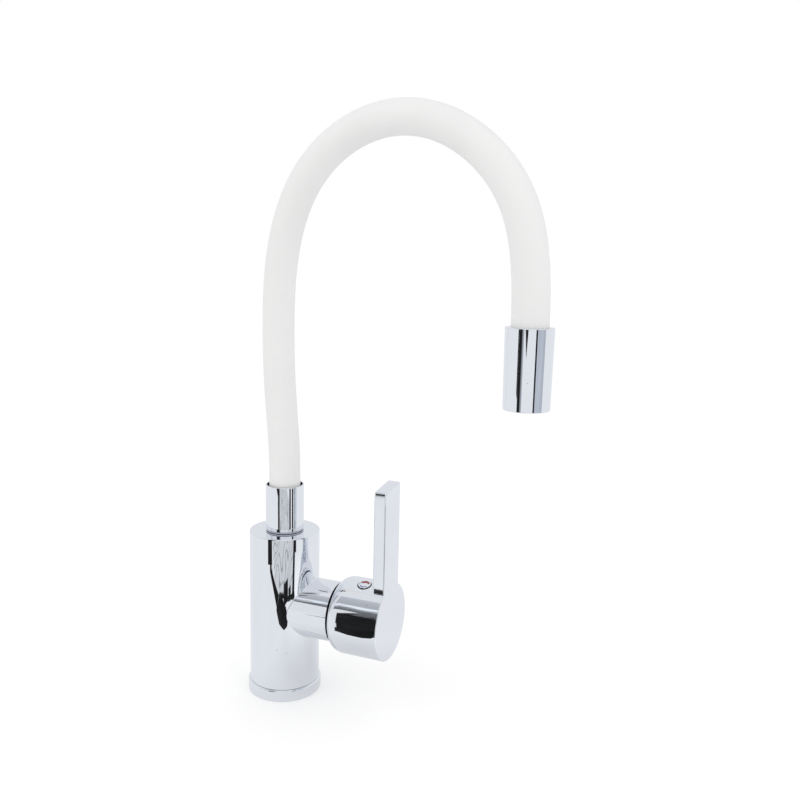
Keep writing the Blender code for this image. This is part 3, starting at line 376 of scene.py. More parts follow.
class Surface(Tree):
    """A material's nodes, with patterns on Object coordinates."""

    def __init__(self, name, bare=False):
        self.material = bpy.data.materials.new(name)
        self.material.use_nodes = True
        super().__init__(self.material.node_tree)
        if bare:
            self.tree.nodes.clear()
        self.place = self.wire(self.node("ShaderNodeTexCoord"), "Object")

    def stretched(self, scale, turn=(0.0, 0.0, 0.0)):
        """Object coordinates, turned and stretched."""
        sockets = {"Vector": self.place, "Scale": scale, "Rotation": turn}
        return self.wire(self.node("ShaderNodeMapping", None, sockets))

    def noise(self, scale, detail=2.0, place=None, roughness=0.5):
        sockets = {"Vector": place or self.place, "Scale": scale, "Detail": detail, "Roughness": roughness}
        return self.wire(self.node("ShaderNodeTexNoise", None, sockets), "Fac")

    def ramp(self, value, *stops):
        """A shade for each stretch of a value, the stretches running into each other."""
        return self.wire(self.node("ShaderNodeValToRGB", {"stops": stops}, {"Fac": value}))


class Finish(Surface):
    """A material with one Principled shader, and the marks that its surfaces need."""

    def __init__(self, name, colour, roughness, metallic=0.0, **fixed):
        super().__init__(name)
        self.shader = self.tree.nodes["Principled BSDF"]
        self.colour = tuple(colour)
        values = {"Base Color": (*colour, 1.0), "Roughness": roughness, "Metallic": metallic, **fixed}
        for socket, value in values.items():
            self.feed(self.shader.inputs[socket], value)

    def patches(self, scale, detail, start, full):
        """Soft patches: a mask that rises from 0 to 1 between two levels of a noise."""
        return self.ramp(self.noise(scale, detail), (start, 0.0), (full, 1.0))

    def dots(self, scale, core, edge):
        """Scattered round dots: a mask that is 1 in their core and 0 beyond their edge."""
        cells = self.node("ShaderNodeTexVoronoi", {"feature": "F1"}, {"Vector": self.place, "Scale": scale})
        return self.ramp(self.wire(cells, "Distance"), (core, 1.0), (edge, 0.0))

    def shaded(self, mask, factor):
        """The finish's colour, darkened or lightened by a factor where the mask is 1."""
        other = tuple(min(part * factor, 1.0) for part in self.colour)
        mix = self.node("ShaderNodeMix", {"data_type": "RGBA"})
        mixed = self.feed_in_turn(mix, mask, (*self.colour, 1.0), (*other, 1.0))
        self.feed(self.shader.inputs["Base Color"], mixed)

    def bump(self, height, distance, strength):
        sockets = {"Height": height, "Distance": distance, "Strength": strength}
        self.feed(self.shader.inputs["Normal"], self.node("ShaderNodeBump", None, sockets))

    def roughness(self, value):
        self.feed(self.shader.inputs["Roughness"], value)


class Glow(Surface):
    """A material that only gives off light, with the patterns of a mirrored room."""

    def __init__(self, name):
        super().__init__(name, bare=True)
        parts = self.node("ShaderNodeSeparateXYZ", None, {0: self.place})
        self.x, self.y, self.z = (self.wire(parts, name) for name in "XYZ")

    def wave(self, scale, detail=2.0, along=1.0):
        """Noise, whose waves can be shorter along X."""
        return self.noise(scale, detail, self.stretched((along, 1.0, 1.0)))

    def away(self, x, y):
        """The distance across the floor from a point."""
        return ((self.x - x) ** 2.0 + (self.y - y) ** 2.0) ** 0.5

    def emission(self, shade, tint):
        sockets = {"Color": self.vector("SCALE", tint, shade), "Strength": 1.0}
        return self.node("ShaderNodeEmission", None, sockets)

    def finish(self, shader):
        self.node("ShaderNodeOutputMaterial", None, {0: shader})
        return self.material


# Finishes


def polished(name, colour, roughness):
    """Bright plating: faint waves under it, hairline scratches, a breath of haze and a few water spots."""
    finish = Finish(name, colour, roughness, metallic=1.0)
    haze = finish.patches(scale=38.0, detail=3.0, start=0.42, full=0.72)
    strokes = finish.stretched((14.0, 14.0, 1.0), turn=(0.35, 0.2, 0.6))
    hairlines = finish.ramp(finish.noise(90.0, 3.0, strokes, roughness=0.65), (0.62, 0.0), (0.70, 1.0))
    spots = finish.dots(scale=95.0, core=0.028, edge=0.055)
    finish.roughness(haze * 0.02 + hairlines * 0.03 + spots * 0.18 + roughness)
    finish.shaded(spots, factor=0.55)
    waves = finish.noise(22.0, 1.0) + finish.noise(160.0, 1.0) * 0.06
    finish.bump(waves, distance=0.00018, strength=0.35)
    return finish.material


def machined(name, colour, roughness):
    """Turned or cut metal: fine rings of tool marks and a little staining."""
    finish = Finish(name, colour, roughness, metallic=1.0)
    stain = finish.patches(scale=140.0, detail=4.0, start=0.45, full=0.75)
    marks = finish.noise(420.0, 2.0, finish.stretched((1.0, 1.0, 9.0)))
    finish.shaded(stain, factor=0.72)
    finish.roughness(stain * 0.18 + marks * 0.12 + (roughness - 0.05))
    finish.bump(marks, distance=0.00002, strength=0.5)
    return finish.material


def moulded(name, colour, roughness, grain=1400.0, depth=0.00001, **fixed):
    """Moulded plastic or rubber: a fine grain, and slight changes of gloss."""
    finish = Finish(name, colour, roughness, **fixed)
    cloud = finish.patches(scale=55.0, detail=3.0, start=0.35, full=0.7)
    skin = finish.noise(grain, 2.0)
    finish.shaded(cloud, factor=0.94)
    finish.roughness(cloud * 0.08 + skin * 0.06 + (roughness - 0.06))
    finish.bump(skin, depth, strength=0.6)
    return finish.material


def silicone(name, colour, roughness):
    """The matt sleeve: a soft bloom, a fine orange-peel skin, and faint dust and marks from handling."""
    finish = Finish(name, colour, roughness)
    bloom = finish.patches(scale=26.0, detail=4.0, start=0.38, full=0.70)
    specks = finish.dots(scale=420.0, core=0.05, edge=0.12)
    peel = finish.noise(900.0, 3.0)
    finish.shaded((bloom * 0.55 + specks * 0.45 + peel * 0.25).math("MINIMUM", 1.0), factor=0.955)
    finish.roughness(bloom * 0.09 + peel * 0.10 + (roughness - 0.08))
    finish.bump(peel + specks * 0.4, distance=0.00003, strength=0.7)
    return finish.material


# Meshes with exact corner directions


def even_turns(sides):
    return [math.tau * index / sides for index in range(sides)]


class Skin:
    """Faces whose corners carry the true surface's direction, so that plating mirrors without facets."""

    def __init__(self):
        self.points = []
        self.known = {}
        self.faces = []
        self.normals = []
        self.finish = 0
        self.finishes = []

    def corner(self, point):
        key = tuple(round(part * MERGED_PER_METRE) for part in point)
        if key not in self.known:
            self.known[key] = len(self.points)
            self.points.append(Vector(point))
        return self.known[key]

    def face(self, corners):
        """Adds a face of (point, direction) corners, turned to face the way they say."""
        kept = {}
        for point, normal in corners:
            kept.setdefault(self.corner(point), normal)
        if len(kept) < 3:
            return
        loop, normals = list(kept), list(kept.values())
        area = Vector()
        for here, after in zip(loop, loop[1:] + loop[:1]):
            area += self.points[here].cross(self.points[after])
        if area.dot(sum(normals, Vector())) < 0:
            loop.reverse()
            normals.reverse()
        self.faces.append(loop)
        self.normals.append(normals)
        self.finishes.append(self.finish)

    def grid(self, rows, closed=True):
        for row, other in zip(rows, rows[1:]):
            for index in range(len(row) if closed else len(row) - 1):
                after = (index + 1) % len(row)
                self.face([row[index], row[after], other[after], other[index]])

    def turn(self, spans, place=Matrix(), turns=None):
        """Revolves a section's spans about the Z axis of a place."""
        turns = turns or even_turns(TURNED_SIDES)
        spin = place.to_3x3()
        for span in spans:
            rows = []
            for radius, height, out, up in span:
                row = []
                for turn in turns:
                    cos, sin = math.cos(turn), math.sin(turn)
                    point = place @ Vector((radius * cos, radius * sin, height))
                    row.append((point, spin @ Vector((out * cos, out * sin, up))))
                rows.append(row)
            self.grid(rows)

    def slab(self, outline, low, high, edge, place=Matrix()):
        """A rounded outline of (x, y, out_x, out_y) raised between two heights, its edges rounded."""
        spin = place.to_3x3()
        rows = []
        for base, way in ((low, -1), (high, 1)):
            steps = range(ROUND_STEPS + 1)
            for step in steps if way < 0 else reversed(steps):
                turn = math.pi / 2 * step / ROUND_STEPS
                inset = edge * (1 - math.sin(turn))
                height = base - way * edge * (1 - math.cos(turn))
                row = []
                for x, y, out_x, out_y in outline:
                    point = place @ Vector((x - out_x * inset, y - out_y * inset, height))
                    tilt = Vector((out_x * math.sin(turn), out_y * math.sin(turn), way * math.cos(turn)))
                    row.append((point, spin @ tilt))
                rows.append(row)
        self.grid(rows)
        for row, way in ((rows[0], -1), (rows[-1], 1)):
            self.face([(point, spin @ Vector((0, 0, way))) for point, _ in row])

    def pierced_disc(self, radius, holes, height, way, turns):
        """A flat disc with round holes of (x, y, radius)."""
        normal = Vector((0, 0, way))

        def ring(x, y, reach, turns):
            circle = [(math.cos(turn), math.sin(turn)) for turn in turns]
            return [Vector((x + reach * across, y + reach * along, height)) for across, along in circle]

        loops = [ring(0.0, 0.0, radius, turns)] + [ring(*hole, even_turns(SMALL_SIDES)) for hole in holes]
        points = [point for loop in loops for point in loop]
        for triangle in tessellate_polygon(loops):
            self.face([(points[index], normal) for index in triangle])

    def mesh(self, name, exact=True):
        mesh = bpy.data.meshes.new(name)
        mesh.from_pydata(self.points, [], self.faces)
        mesh.polygons.foreach_set("use_smooth", [True] * len(mesh.polygons))
        mesh.polygons.foreach_set("material_index", self.finishes)
        if exact:
            directions = [normal.normalized() for normals in self.normals for normal in normals]
            mesh.normals_split_custom_set(directions)
        mesh.update()
        return mesh


def straight(start, end, steps=1):
    """A straight run of a section, whose outside is on its right."""
    along = (Vector(end) - Vector(start)).normalized()
    span = []
    for step in range(steps + 1):
        point = Vector(start).lerp(Vector(end), step / steps)
        span.append((point.x, point.y, along.y, -along.x))
    return span


def rounded(corners, closed=False):
    """A section's runs and rounds from its (radius, height, rounding) corners, taken anticlockwise."""
    points = [Vector(corner[:2]) for corner in corners]
    bends = []
    for index, corner in enumerate(corners):
        rounding = corner[2] if len(corner) > 2 else 0.0
        here = points[index]
        if not rounding:
            bends.append([(here.x, here.y, 0.0, 0.0)])
            continue
        before = (here - points[index - 1]).normalized()
        after = (points[(index + 1) % len(points)] - here).normalized()
        bend = math.atan2(before.x * after.y - before.y * after.x, before.dot(after))
        side = 1 if bend > 0 else -1
        out = Vector((before.y, -before.x))
        centre = here - before * rounding * math.tan(abs(bend) / 2) - out * rounding * side
        arc = []
        for step in range(ROUND_STEPS + 1):
            normal = Matrix.Rotation(bend * step / ROUND_STEPS, 2) @ out
            point = centre + normal * rounding * side
            arc.append((point.x, point.y, normal.x, normal.y))
        bends.append(arc)
    spans = []
    for index, bend in enumerate(bends):
        if len(bend) > 1:
            spans.append(bend)
        if closed or index < len(bends) - 1:
            start, end = bend[-1][:2], bends[(index + 1) % len(bends)][0][:2]
            if (Vector(end) - Vector(start)).length > 1 / MERGED_PER_METRE:
                spans.append(straight(start, end))
    return spans


def outlined(corners):
    """A closed outline whose corners are all rounded, as (x, y, out_x, out_y) points."""
    outline = []
    for span in rounded(corners, closed=True):
        for point in span:
            if not outline or (Vector(point[:2]) - Vector(outline[-1][:2])).length > 1 / MERGED_PER_METRE:
                outline.append(point)
    return outline[:-1]


def turned(name, section, place=Matrix(), sides=TURNED_SIDES, closed=True):
    """The mesh of a section that is turned about the Z axis of a place."""
    skin = Skin()
    skin.turn(rounded(section, closed), place, even_turns(sides))
    return skin.mesh(name)


def placed(name, data):
    """An object that holds a mesh, a curve, a lamp or a camera, in the scene."""
    thing = bpy.data.objects.new(name, data)
    bpy.context.scene.collection.objects.link(thing)
    return thing


def worked_out(thing):
    """The mesh of an object after its modifiers. The object itself goes."""
    bpy.context.view_layer.update()
    evaluated = thing.evaluated_get(bpy.context.evaluated_depsgraph_get())
    mesh = bpy.data.meshes.new_from_object(evaluated)
    bpy.data.objects.remove(thing)
    return mesh


def solved(base, tool, operation):
    """A mesh cut by or joined to another."""
    first, second = placed(base.name, base), placed(tool.name, tool)
    modifier = first.modifiers.new("solve", "BOOLEAN")
    modifier.operation = operation
    modifier.solver = "EXACT"
    modifier.object = second
    mesh = worked_out(first)
    bpy.data.objects.remove(second)
    return mesh


def carry_directions(mesh, sources):
    """Gives each corner the direction of the source surface that its face came from."""
    looks = []
    for source in sources:
        source.calc_loop_triangles()
        corners = [normal.vector.copy() for normal in source.corner_normals]
        triangles = [(tuple(t.vertices), tuple(t.loops)) for t in source.loop_triangles]
        points = [vertex.co.copy() for vertex in source.vertices]
        tree = BVHTree.FromPolygons(points, [vertices for vertices, _ in triangles])
        looks.append((tree, triangles, corners, points))
    directions = []
    for polygon in mesh.polygons:
        for vertex in polygon.vertices:
            point = mesh.vertices[vertex].co
            probe = point.lerp(polygon.center, PROBE_SHARE)
            best = None
            for look in looks:
                _, facing, index, distance = look[0].find_nearest(probe)
                off = distance + (0 if abs(facing.dot(polygon.normal)) > SAME_FACING else 1)
                if best is None or off < best[0]:
                    best = (off, look, index, facing)
            _, (_, triangles, corners, points), index, facing = best
            vertices, loops = triangles[index]
            weights = barycentric(point, [points[vertex] for vertex in vertices])
            normal = sum((corners[loop] * weight for loop, weight in zip(loops, weights)), Vector())
            if facing.dot(polygon.normal) < 0:
                normal = -normal
            directions.append(normal.normalized())
    mesh.polygons.foreach_set("use_smooth", [True] * len(mesh.polygons))
    mesh.normals_split_custom_set(directions)
    mesh.update()


def barycentric(point, triangle):
    """The weights of a triangle's corners at a point."""
    first, second, third = triangle
    a, b, c = second - first, third - first, point - first
    aa, ab, bb, ca, cb = a.dot(a), a.dot(b), b.dot(b), c.dot(a), c.dot(b)
    spread = aa * bb - ab * ab
    if not spread:
        return 1.0, 0.0, 0.0
    v, w = (bb * ca - ab * cb) / spread, (aa * cb - ab * ca) / spread
    return 1 - v - w, v, w


def show(name, mesh, finish, body, nodes):
    """Puts a finished piece in the stead of the solids that it stands for: on its body when one is named; a
    piece given two bodies and two points is tied to neither, and only has its transform baked into its mesh.
    """
    finishes = (finish,) if isinstance(finish, str) else finish
    shares = [polygon.material_index for polygon in mesh.polygons]
    mesh.materials.clear()
    for each in finishes:
        mesh.materials.append(bpy.data.materials[each])
    if len(finishes) > 1:
        mesh.polygons.foreach_set("material_index", shares)
    piece = placed(name, mesh)
    if isinstance(body, str):
        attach(piece, body)
    else:
        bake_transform(piece)
    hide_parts(*nodes)


# Operators


class FAUCET_OT_finishes(bpy.types.Operator):
    """Mix the finishes, and give the inner parts theirs"""

    bl_idname = "faucet.finishes"
    bl_label = "Mix finishes"

    # The two ceramic discs keep the finish that the frame gives them
    inner_parts = {
        "turned brass": (
            "control_stem",
            "hose_foot_fitting",
            "hose_tip_fitting",
            "retaining_nut",
            "swivel_stem",
        ),
        "plain steel": ("aerator_screen", "grub_screw", "pivot_pin", "retaining_clip"),
        "grey plastic": ("cartridge_base", "cartridge_housing", "disc_coupler"),
        "white plastic": ("stem_carrier",),
        "black rubber": (
            "aerator_washer",
            "base_gasket",
            "cold_port_seal",
            "hot_port_seal",
            "outlet_port_seal",
            "stem_o_ring_lower",
            "stem_o_ring_upper",
        ),
    }

    # Metals and plastics as (name, colour, roughness)
    metals = (
        ("turned brass", (0.78, 0.62, 0.34), 0.28),
        ("plain steel", (0.62, 0.63, 0.65), 0.3),
        # A near-black finish for the branch's end and the nut's seat: painted shade of the gap under the
        # cap's rim
        ("blackened brass", (0.035, 0.035, 0.04), 0.5),
    )
    plastics = (
        ("grey plastic", (0.42, 0.43, 0.45), 0.45),
        ("white plastic", (0.85, 0.85, 0.84), 0.4),
        ("water hose", (0.74, 0.76, 0.78), 0.4),
    )
    rubber = {"colour": (0.03, 0.03, 0.035), "roughness": 0.7, "grain": 700.0, "depth": 0.00004}
    enamel = {"roughness": 0.22, "grain": 900.0, "depth": 0.000006, "Coat Weight": 0.6}
    ring_roughness = 0.3

    def execute(self, context):
        look = context.scene.faucet_finish
        polished("polished chrome", look.chrome, look.chrome_roughness)
        silicone("matt silicone", look.silicone, look.silicone_roughness)
        for metal in self.metals:
            machined(*metal)
        for plastic in self.plastics:
            moulded(*plastic)
        moulded("bearing plastic", look.ring_plastic, self.ring_roughness)
        moulded("black rubber", **self.rubber)
        moulded("hot enamel", look.red, **self.enamel)
        moulded("cold enamel", look.blue, **self.enamel)
        finishes = {name: finish for finish, names in self.inner_parts.items() for name in names}
        finishes.update({name: "plain steel" for name in frame["nodes"] if name.startswith("gooseneck")})
        for name, finish in finishes.items():
            for slot in frame["nodes"][name].material_slots:
                slot.material = bpy.data.materials[finish]
        return {"FINISHED"}


class FAUCET_OT_body(bpy.types.Operator):
    """Make the upright with its branch, and the foot ring"""

    bl_idname = "faucet.body"
    bl_label = "Make body"

    # How finely the upright's side is divided: rows of its grid, spokes round the branch, steps of the
    # fillet, and columns to each side of the branch that the spokes take up
    rows = 26
    spokes = 12
    fillet_steps = 6
    side_columns = 41

    # Plain wall at the ends of the side, the clip's groove, and how much deeper the stud's socket is
    wall_margin = 0.0012
    clip_groove = 0.0008
    stud_deeper = 0.002

    def execute(self, context):
        body = context.scene.faucet_body
        skin = Skin()
        low, high = body.ring_height + FIT + self.wall_margin, body.height - body.top_edge - self.wall_margin
        self.top(skin, body, high)
        self.underside(skin, body, low)
        branch_turns = self.wall(skin, body, low, high)
        self.branch_end(skin, body, branch_turns)
        finishes = ("polished chrome", "blackened brass")
        show("body_upright", skin.mesh("body_upright"), finishes, "base", ["body_casting"])
        self.foot(body)
        return {"FINISHED"}

    def top(self, skin, body, high):
        """The top face, and the swivel's socket with the groove for its clip."""
        clip_low, clip_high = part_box("retaining_clip")[0].z - FIT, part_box("retaining_clip")[1].z + FIT
        floor = body.height - body.socket_depth
        groove = body.socket_radius + FIT + self.clip_groove
        section = [
            (body.radius, high),
            (body.radius, body.height, body.top_edge),
            (body.socket_radius, body.height, TRIM_ROUND),
            (body.socket_radius, clip_high),
            (groove, clip_high),
            (groove, clip_low),
            (body.socket_radius, clip_low),
            (body.socket_radius, floor),
            (0.0, floor),
        ]
        skin.turn(rounded(section))

    def underside(self, skin, body, low):
        """The foot with the gasket's groove, the two inlets and the stud's socket."""
        inner, outer = body.gasket_radius - body.gasket_width / 2, body.gasket_radius + body.gasket_width / 2
        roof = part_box("base_gasket")[1].z + FIT
        step = body.ring_height + FIT / 4
        section = [
            (inner, 0.0),
            (inner, roof),
            (outer, roof),
            (outer, 0.0),
            (body.spigot_radius, 0.0, TRIM_ROUND),
            (body.spigot_radius, step),
            (body.radius, step, TRIM_ROUND),
            (body.radius, low),
        ]
        skin.turn(rounded(section))
        lows, highs = (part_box(f"{name}_port_seal") for name in ("cold", "hot"))
        side = (highs[0].y + highs[1].y) / 2
        inlet = lows[0].x - body.inlet_radius
        sockets = [
            (inlet, -side, body.inlet_radius, body.inlet_depth),
            (inlet, side, body.inlet_radius, body.inlet_depth),
            (-body.stud_offset, 0.0, body.stud_radius, body.inlet_depth + self.stud_deeper),
        ]
        skin.pierced_disc(inner, [socket[:3] for socket in sockets], 0.0, -1, even_turns(TURNED_SIDES))
        for x, y, radius, depth in sockets:
            wall = [straight((radius, depth), (radius, 0.0)), straight((0.0, depth), (radius, depth))]
            inwards = [[(r, h, out * (-1 if out > 0 else 1), up) for r, h, out, up in span] for span in wall]
            skin.turn(inwards, Matrix.Translation((x, y, 0.0)), even_turns(SMALL_SIDES))

    def wall(self, skin, body, low, high):
        """The upright's side: a grid behind, spokes round the branch, and a fillet between the two."""
        columns, radius, hub = self.side_columns, body.radius, body.branch_height
        step = math.tau / TURNED_SIDES
        levels = [low + (high - low) * index / self.rows for index in range(self.rows + 1)]

        def on_wall(turn, height):
            out = Vector((math.cos(turn), math.sin(turn), 0.0))
            return Vector((radius * out.x, radius * out.y, height)), out

        behind = [index * step for index in range(columns, TURNED_SIDES - columns + 1)]
        skin.grid([[on_wall(turn, level) for turn in behind] for level in levels], closed=False)
        across = range(-columns, columns)
        border = [(index * step, low) for index in across]
        border += [(columns * step, level) for level in levels[:-1]]
        border += [(-index * step, high) for index in across]
        border += [(-columns * step, level) for level in levels[:0:-1]]
        turns = [math.atan2(radius * turn, height - hub) for turn, height in border]
        rows = [[on_wall(turn, height) for turn, height in border]]
        fillet = [[] for _ in range(self.fillet_steps + 1)]
        arm = [[], []]
        contacts = []
        for turn in turns:
            out = Vector((0.0, math.sin(turn), math.cos(turn)))
            reach = body.branch_radius + body.join_radius
            side, rise = out.y * reach, out.z * reach
            along = math.sqrt((radius + body.join_radius) ** 2 - side**2)
            centre = Vector((along, side, hub + rise))
            wall_out = Vector((along, side, 0.0)).normalized()
            for part in range(self.fillet_steps + 1):
                normal = wall_out.slerp(out, part / self.fillet_steps)
                fillet[part].append((centre - normal * body.join_radius, normal))
            contacts.append((math.atan2(side, along), hub + rise))
            arm[0].append((centre - out * body.join_radius, out))
            end = Vector((body.branch_reach - body.branch_edge, 0.0, hub)) + out * body.branch_radius
            arm[1].append((end, out))
        for spoke in range(1, self.spokes):
            part = 1 - spoke / self.spokes
            rows.append([
                on_wall(near_turn + (turn - near_turn) * part, near_height + (height - near_height) * part)
                for (turn, height), (near_turn, near_height) in zip(border, contacts)
            ])
        rows.append(fillet[0])
        skin.grid(rows)
        skin.grid(fillet)
        skin.grid(arm)
        return turns

    def branch_end(self, skin, body, turns):
        """The rounded end of the branch, the nut's thread and the cartridge's chamber."""
        place = Matrix(((0, 0, 1, 0), (0, 1, 0, 0), (1, 0, 0, body.branch_height), (0, 0, 0, 1)))
        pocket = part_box("retaining_nut")[0].x - FIT
        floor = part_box("cold_port_seal")[0].x
        section = [
            (body.branch_radius, body.branch_reach - body.branch_edge),
            (body.branch_radius, body.branch_reach, body.branch_edge),
            (body.nut_radius, body.branch_reach, TRIM_ROUND),
            (body.nut_radius, pocket),
            (body.chamber_radius, pocket),
            (body.chamber_radius, floor),
            (0.0, floor),
        ]
        # From the branch's rounded end inwards, the section takes the near-black finish: painted shade of the
        # gap between branch and cap
        skin.finish = 1
        skin.turn(rounded(section), place, turns)
        skin.finish = 0

    def foot(self, body):
        """The ring round the upright's foot."""
        inner = body.spigot_radius + FIT
        section = [
            (inner, 0.0),
            (body.ring_radius, 0.0, TRIM_ROUND * 2),
            (body.ring_radius, body.ring_height, body.ring_edge),
            (inner, body.ring_height, TRIM_ROUND),
        ]
        show("foot_trim", turned("foot_trim", section), "polished chrome", "base", ["foot_ring"])


class FAUCET_OT_handle(bpy.types.Operator):
    """Make the cap with its lever, and the index plug"""

    bl_idname = "faucet.handle"
    bl_label = "Make handle"

    shoulder_steps = 12

    # Rounding of the lever's root inside the cap, and how far the lever's face lies behind the cap's
    root_round = 0.0015
    face_step = 0.000005

    def execute(self, context):
        handle = context.scene.faucet_handle
        hub = context.scene.faucet_body.branch_height
        lip = context.scene.faucet_body.branch_radius
        along = Matrix(((0, 0, 1, 0), (0, 1, 0, 0), (-1, 0, 0, hub), (0, 0, 0, 1)))
        up = Matrix.Translation((handle.plug_place, 0.0, hub)) @ Matrix.Rotation(handle.plug_turn, 4, "X")
        cap, lever, recess = self.cap(handle, lip, along), self.lever(handle, hub), self.recess(handle, up)
        casting = solved(solved(cap, lever, "UNION"), recess, "DIFFERENCE")
        carry_directions(casting, [cap, lever, recess])
        show("handle_lever", casting, "polished chrome", "handle", ["handle"])
        self.plug(handle, up)
        return {"FINISHED"}

    def cap(self, handle, lip, along):
        """The hollow cap with its rounded shoulder."""
        start, face, wall = handle.cap_start, handle.cap_face, handle.cap_wall
        inner_lip = lip - FIT / 2
        inside = handle.cap_radius - wall
        shoulder = start + handle.cap_shoulder
        skin = Skin()
        spans = [straight((inner_lip, start), (lip, start))]
        spans.append(self.shoulder(lip, start, handle.cap_flare, handle.cap_shoulder))
        outside = handle.cap_radius
        spans += rounded([(outside, shoulder), (outside, face, handle.cap_edge), (0.0, face)])
        back = face - handle.face_wall
        spans += rounded([(0.0, back), (inside, back, wall / 2), (inside, shoulder)])
        hollow = self.shoulder(inner_lip, start + wall, inside - inner_lip, handle.cap_shoulder - wall)
        spans.append([(radius, height, -out, -rise) for radius, height, out, rise in reversed(hollow)])
        spans.append(straight((inner_lip, start + wall), (inner_lip, start)))
        skin.turn(spans, along)
        return skin.mesh("cap")

    def shoulder(self, radius, height, rise, run):
        """A quarter ellipse that leaves the back edge outwards and ends along the axis."""
        span = []
        for step in range(self.shoulder_steps + 1):
            turn = math.pi / 2 * step / self.shoulder_steps
            normal = Vector((run * math.sin(turn), -rise * math.cos(turn))).normalized()
            point = (radius + rise * math.sin(turn), height + run * (1 - math.cos(turn)))
            span.append((*point, normal.x, normal.y))
        return span

    def lever(self, handle, hub):
        """The flat lever that rises from the cap."""
        half = handle.lever_width / 2
        root = hub + handle.cap_radius - 2 * handle.cap_wall
        corners = [
            (-half, root, self.root_round),
            (half, root, self.root_round),
            (half, handle.lever_top + handle.lever_rise, handle.lever_corner),
            (-half, handle.lever_top, handle.lever_corner),
        ]
        place = Matrix(((0, 0, 1, 0), (1, 0, 0, 0), (0, 1, 0, 0), (0, 0, 0, 1)))
        skin = Skin()
        front = handle.cap_face - self.face_step
        skin.slab(outlined(corners), front - handle.lever_thickness, front, handle.lever_edge, place)
        return skin.mesh("lever")

    def recess(self, handle, up):
        """The round pocket that the plug is pressed into."""
        floor, radius = handle.cap_radius - handle.plug_depth, handle.plug_radius + handle.plug_seal
        top = handle.cap_radius + handle.plug_depth
        section = [(0.0, floor), (radius, floor), (radius, top), (0.0, top)]
        return turned("recess", section, up, SMALL_SIDES, closed=False)

    def plug(self, handle, up):
        """The index plug: its chrome cup, the dark ring round it (partly a sealing ring, partly painted
        shadow of the gap), and a hot and a cold mark.
        """
        low = handle.cap_radius - handle.plug_depth + FIT
        top = handle.cap_radius + handle.plug_proud
        rim = handle.plug_radius - handle.plug_rim
        floor = low + handle.plug_floor
        section = [
            (0.0, low),
            (handle.plug_radius, low),
            (handle.plug_radius, top, handle.plug_proud / 2),
            (rim, top, TRIM_ROUND),
            (rim, floor),
            (0.0, floor),
        ]
        ring = turned("plug_ring", section, up, SMALL_SIDES, closed=False)
        show("plug_ring", ring, "polished chrome", "handle", ["index_bezel"])
        # The dark ring in the recess round the cup: partly a sealing ring, partly painted shadow of the gap
        # round the plug
        inner, outer = handle.plug_radius, handle.plug_radius + handle.plug_seal - FIT / 10
        level = handle.cap_radius - FIT
        section = [(inner, low), (outer, low), (outer, level, TRIM_ROUND / 2), (inner, level)]
        seal_and_shade = turned("plug_seal", section, up, SMALL_SIDES)
        show("plug_seal", seal_and_shade, "black rubber", "handle", ["index_bezel"])
        marks = (
            (1, "plug_hot", "hot enamel", "index_red", "red"),
            (-1, "plug_cold", "cold enamel", "index_blue", "blue"),
        )
        for side, name, finish, node, slot in marks:
            outline = self.arc_band(handle.mark_inner, rim - FIT / 2, handle.mark_span, side)
            skin = Skin()
            skin.slab(outline, floor - FIT / 6, floor + FIT, TRIM_ROUND / 2, up)
            show(name, skin.mesh(name), finish, "handle", [node])

    def arc_band(self, inner, outer, span, side):
        """A band of a ring on one side of the plug, its four corners rounded."""
        steps = SMALL_SIDES // 2
        turns = [side * math.pi / 2 + span * (index / steps - 0.5) for index in range(steps + 1)]
        edges = [(outer, turn) for turn in turns] + [(inner, turn) for turn in reversed(turns)]
        level = TRIM_ROUND / 8
        return outlined([(reach * math.cos(turn), reach * math.sin(turn), level) for reach, turn in edges])


class FAUCET_OT_spout_foot(bpy.types.Operator):
    """Make the bearing ring and the collar that the hose stands in"""

    bl_idname = "faucet.spout_foot"
    bl_label = "Make collar"

    def execute(self, context):
        hose = context.scene.faucet_hose
        hole = context.scene.faucet_body.socket_radius
        low, rim = (corner.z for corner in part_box("collar"))
        inside = hose.collar_radius - hose.collar_wall
        floor = low + hose.collar_floor
        section = [
            (hole, low),
            (hose.collar_radius, low, hose.collar_edge),
            (hose.collar_radius, rim, hose.collar_edge),
            (inside, rim, hose.collar_edge),
            (inside, floor),
            (hole, floor),
        ]
        collar = turned("hose_collar", section)
        show("hose_collar", collar, "polished chrome", "spout", ["collar"])
        under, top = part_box("slip_washer")
        section = [(hole, under.z), (top.x, under.z, TRIM_ROUND), (top.x, top.z, TRIM_ROUND), (hole, top.z)]
        ring = turned("bearing_ring", section)
        show("bearing_ring", ring, "bearing plastic", "spout", ["slip_washer"])
        return {"FINISHED"}


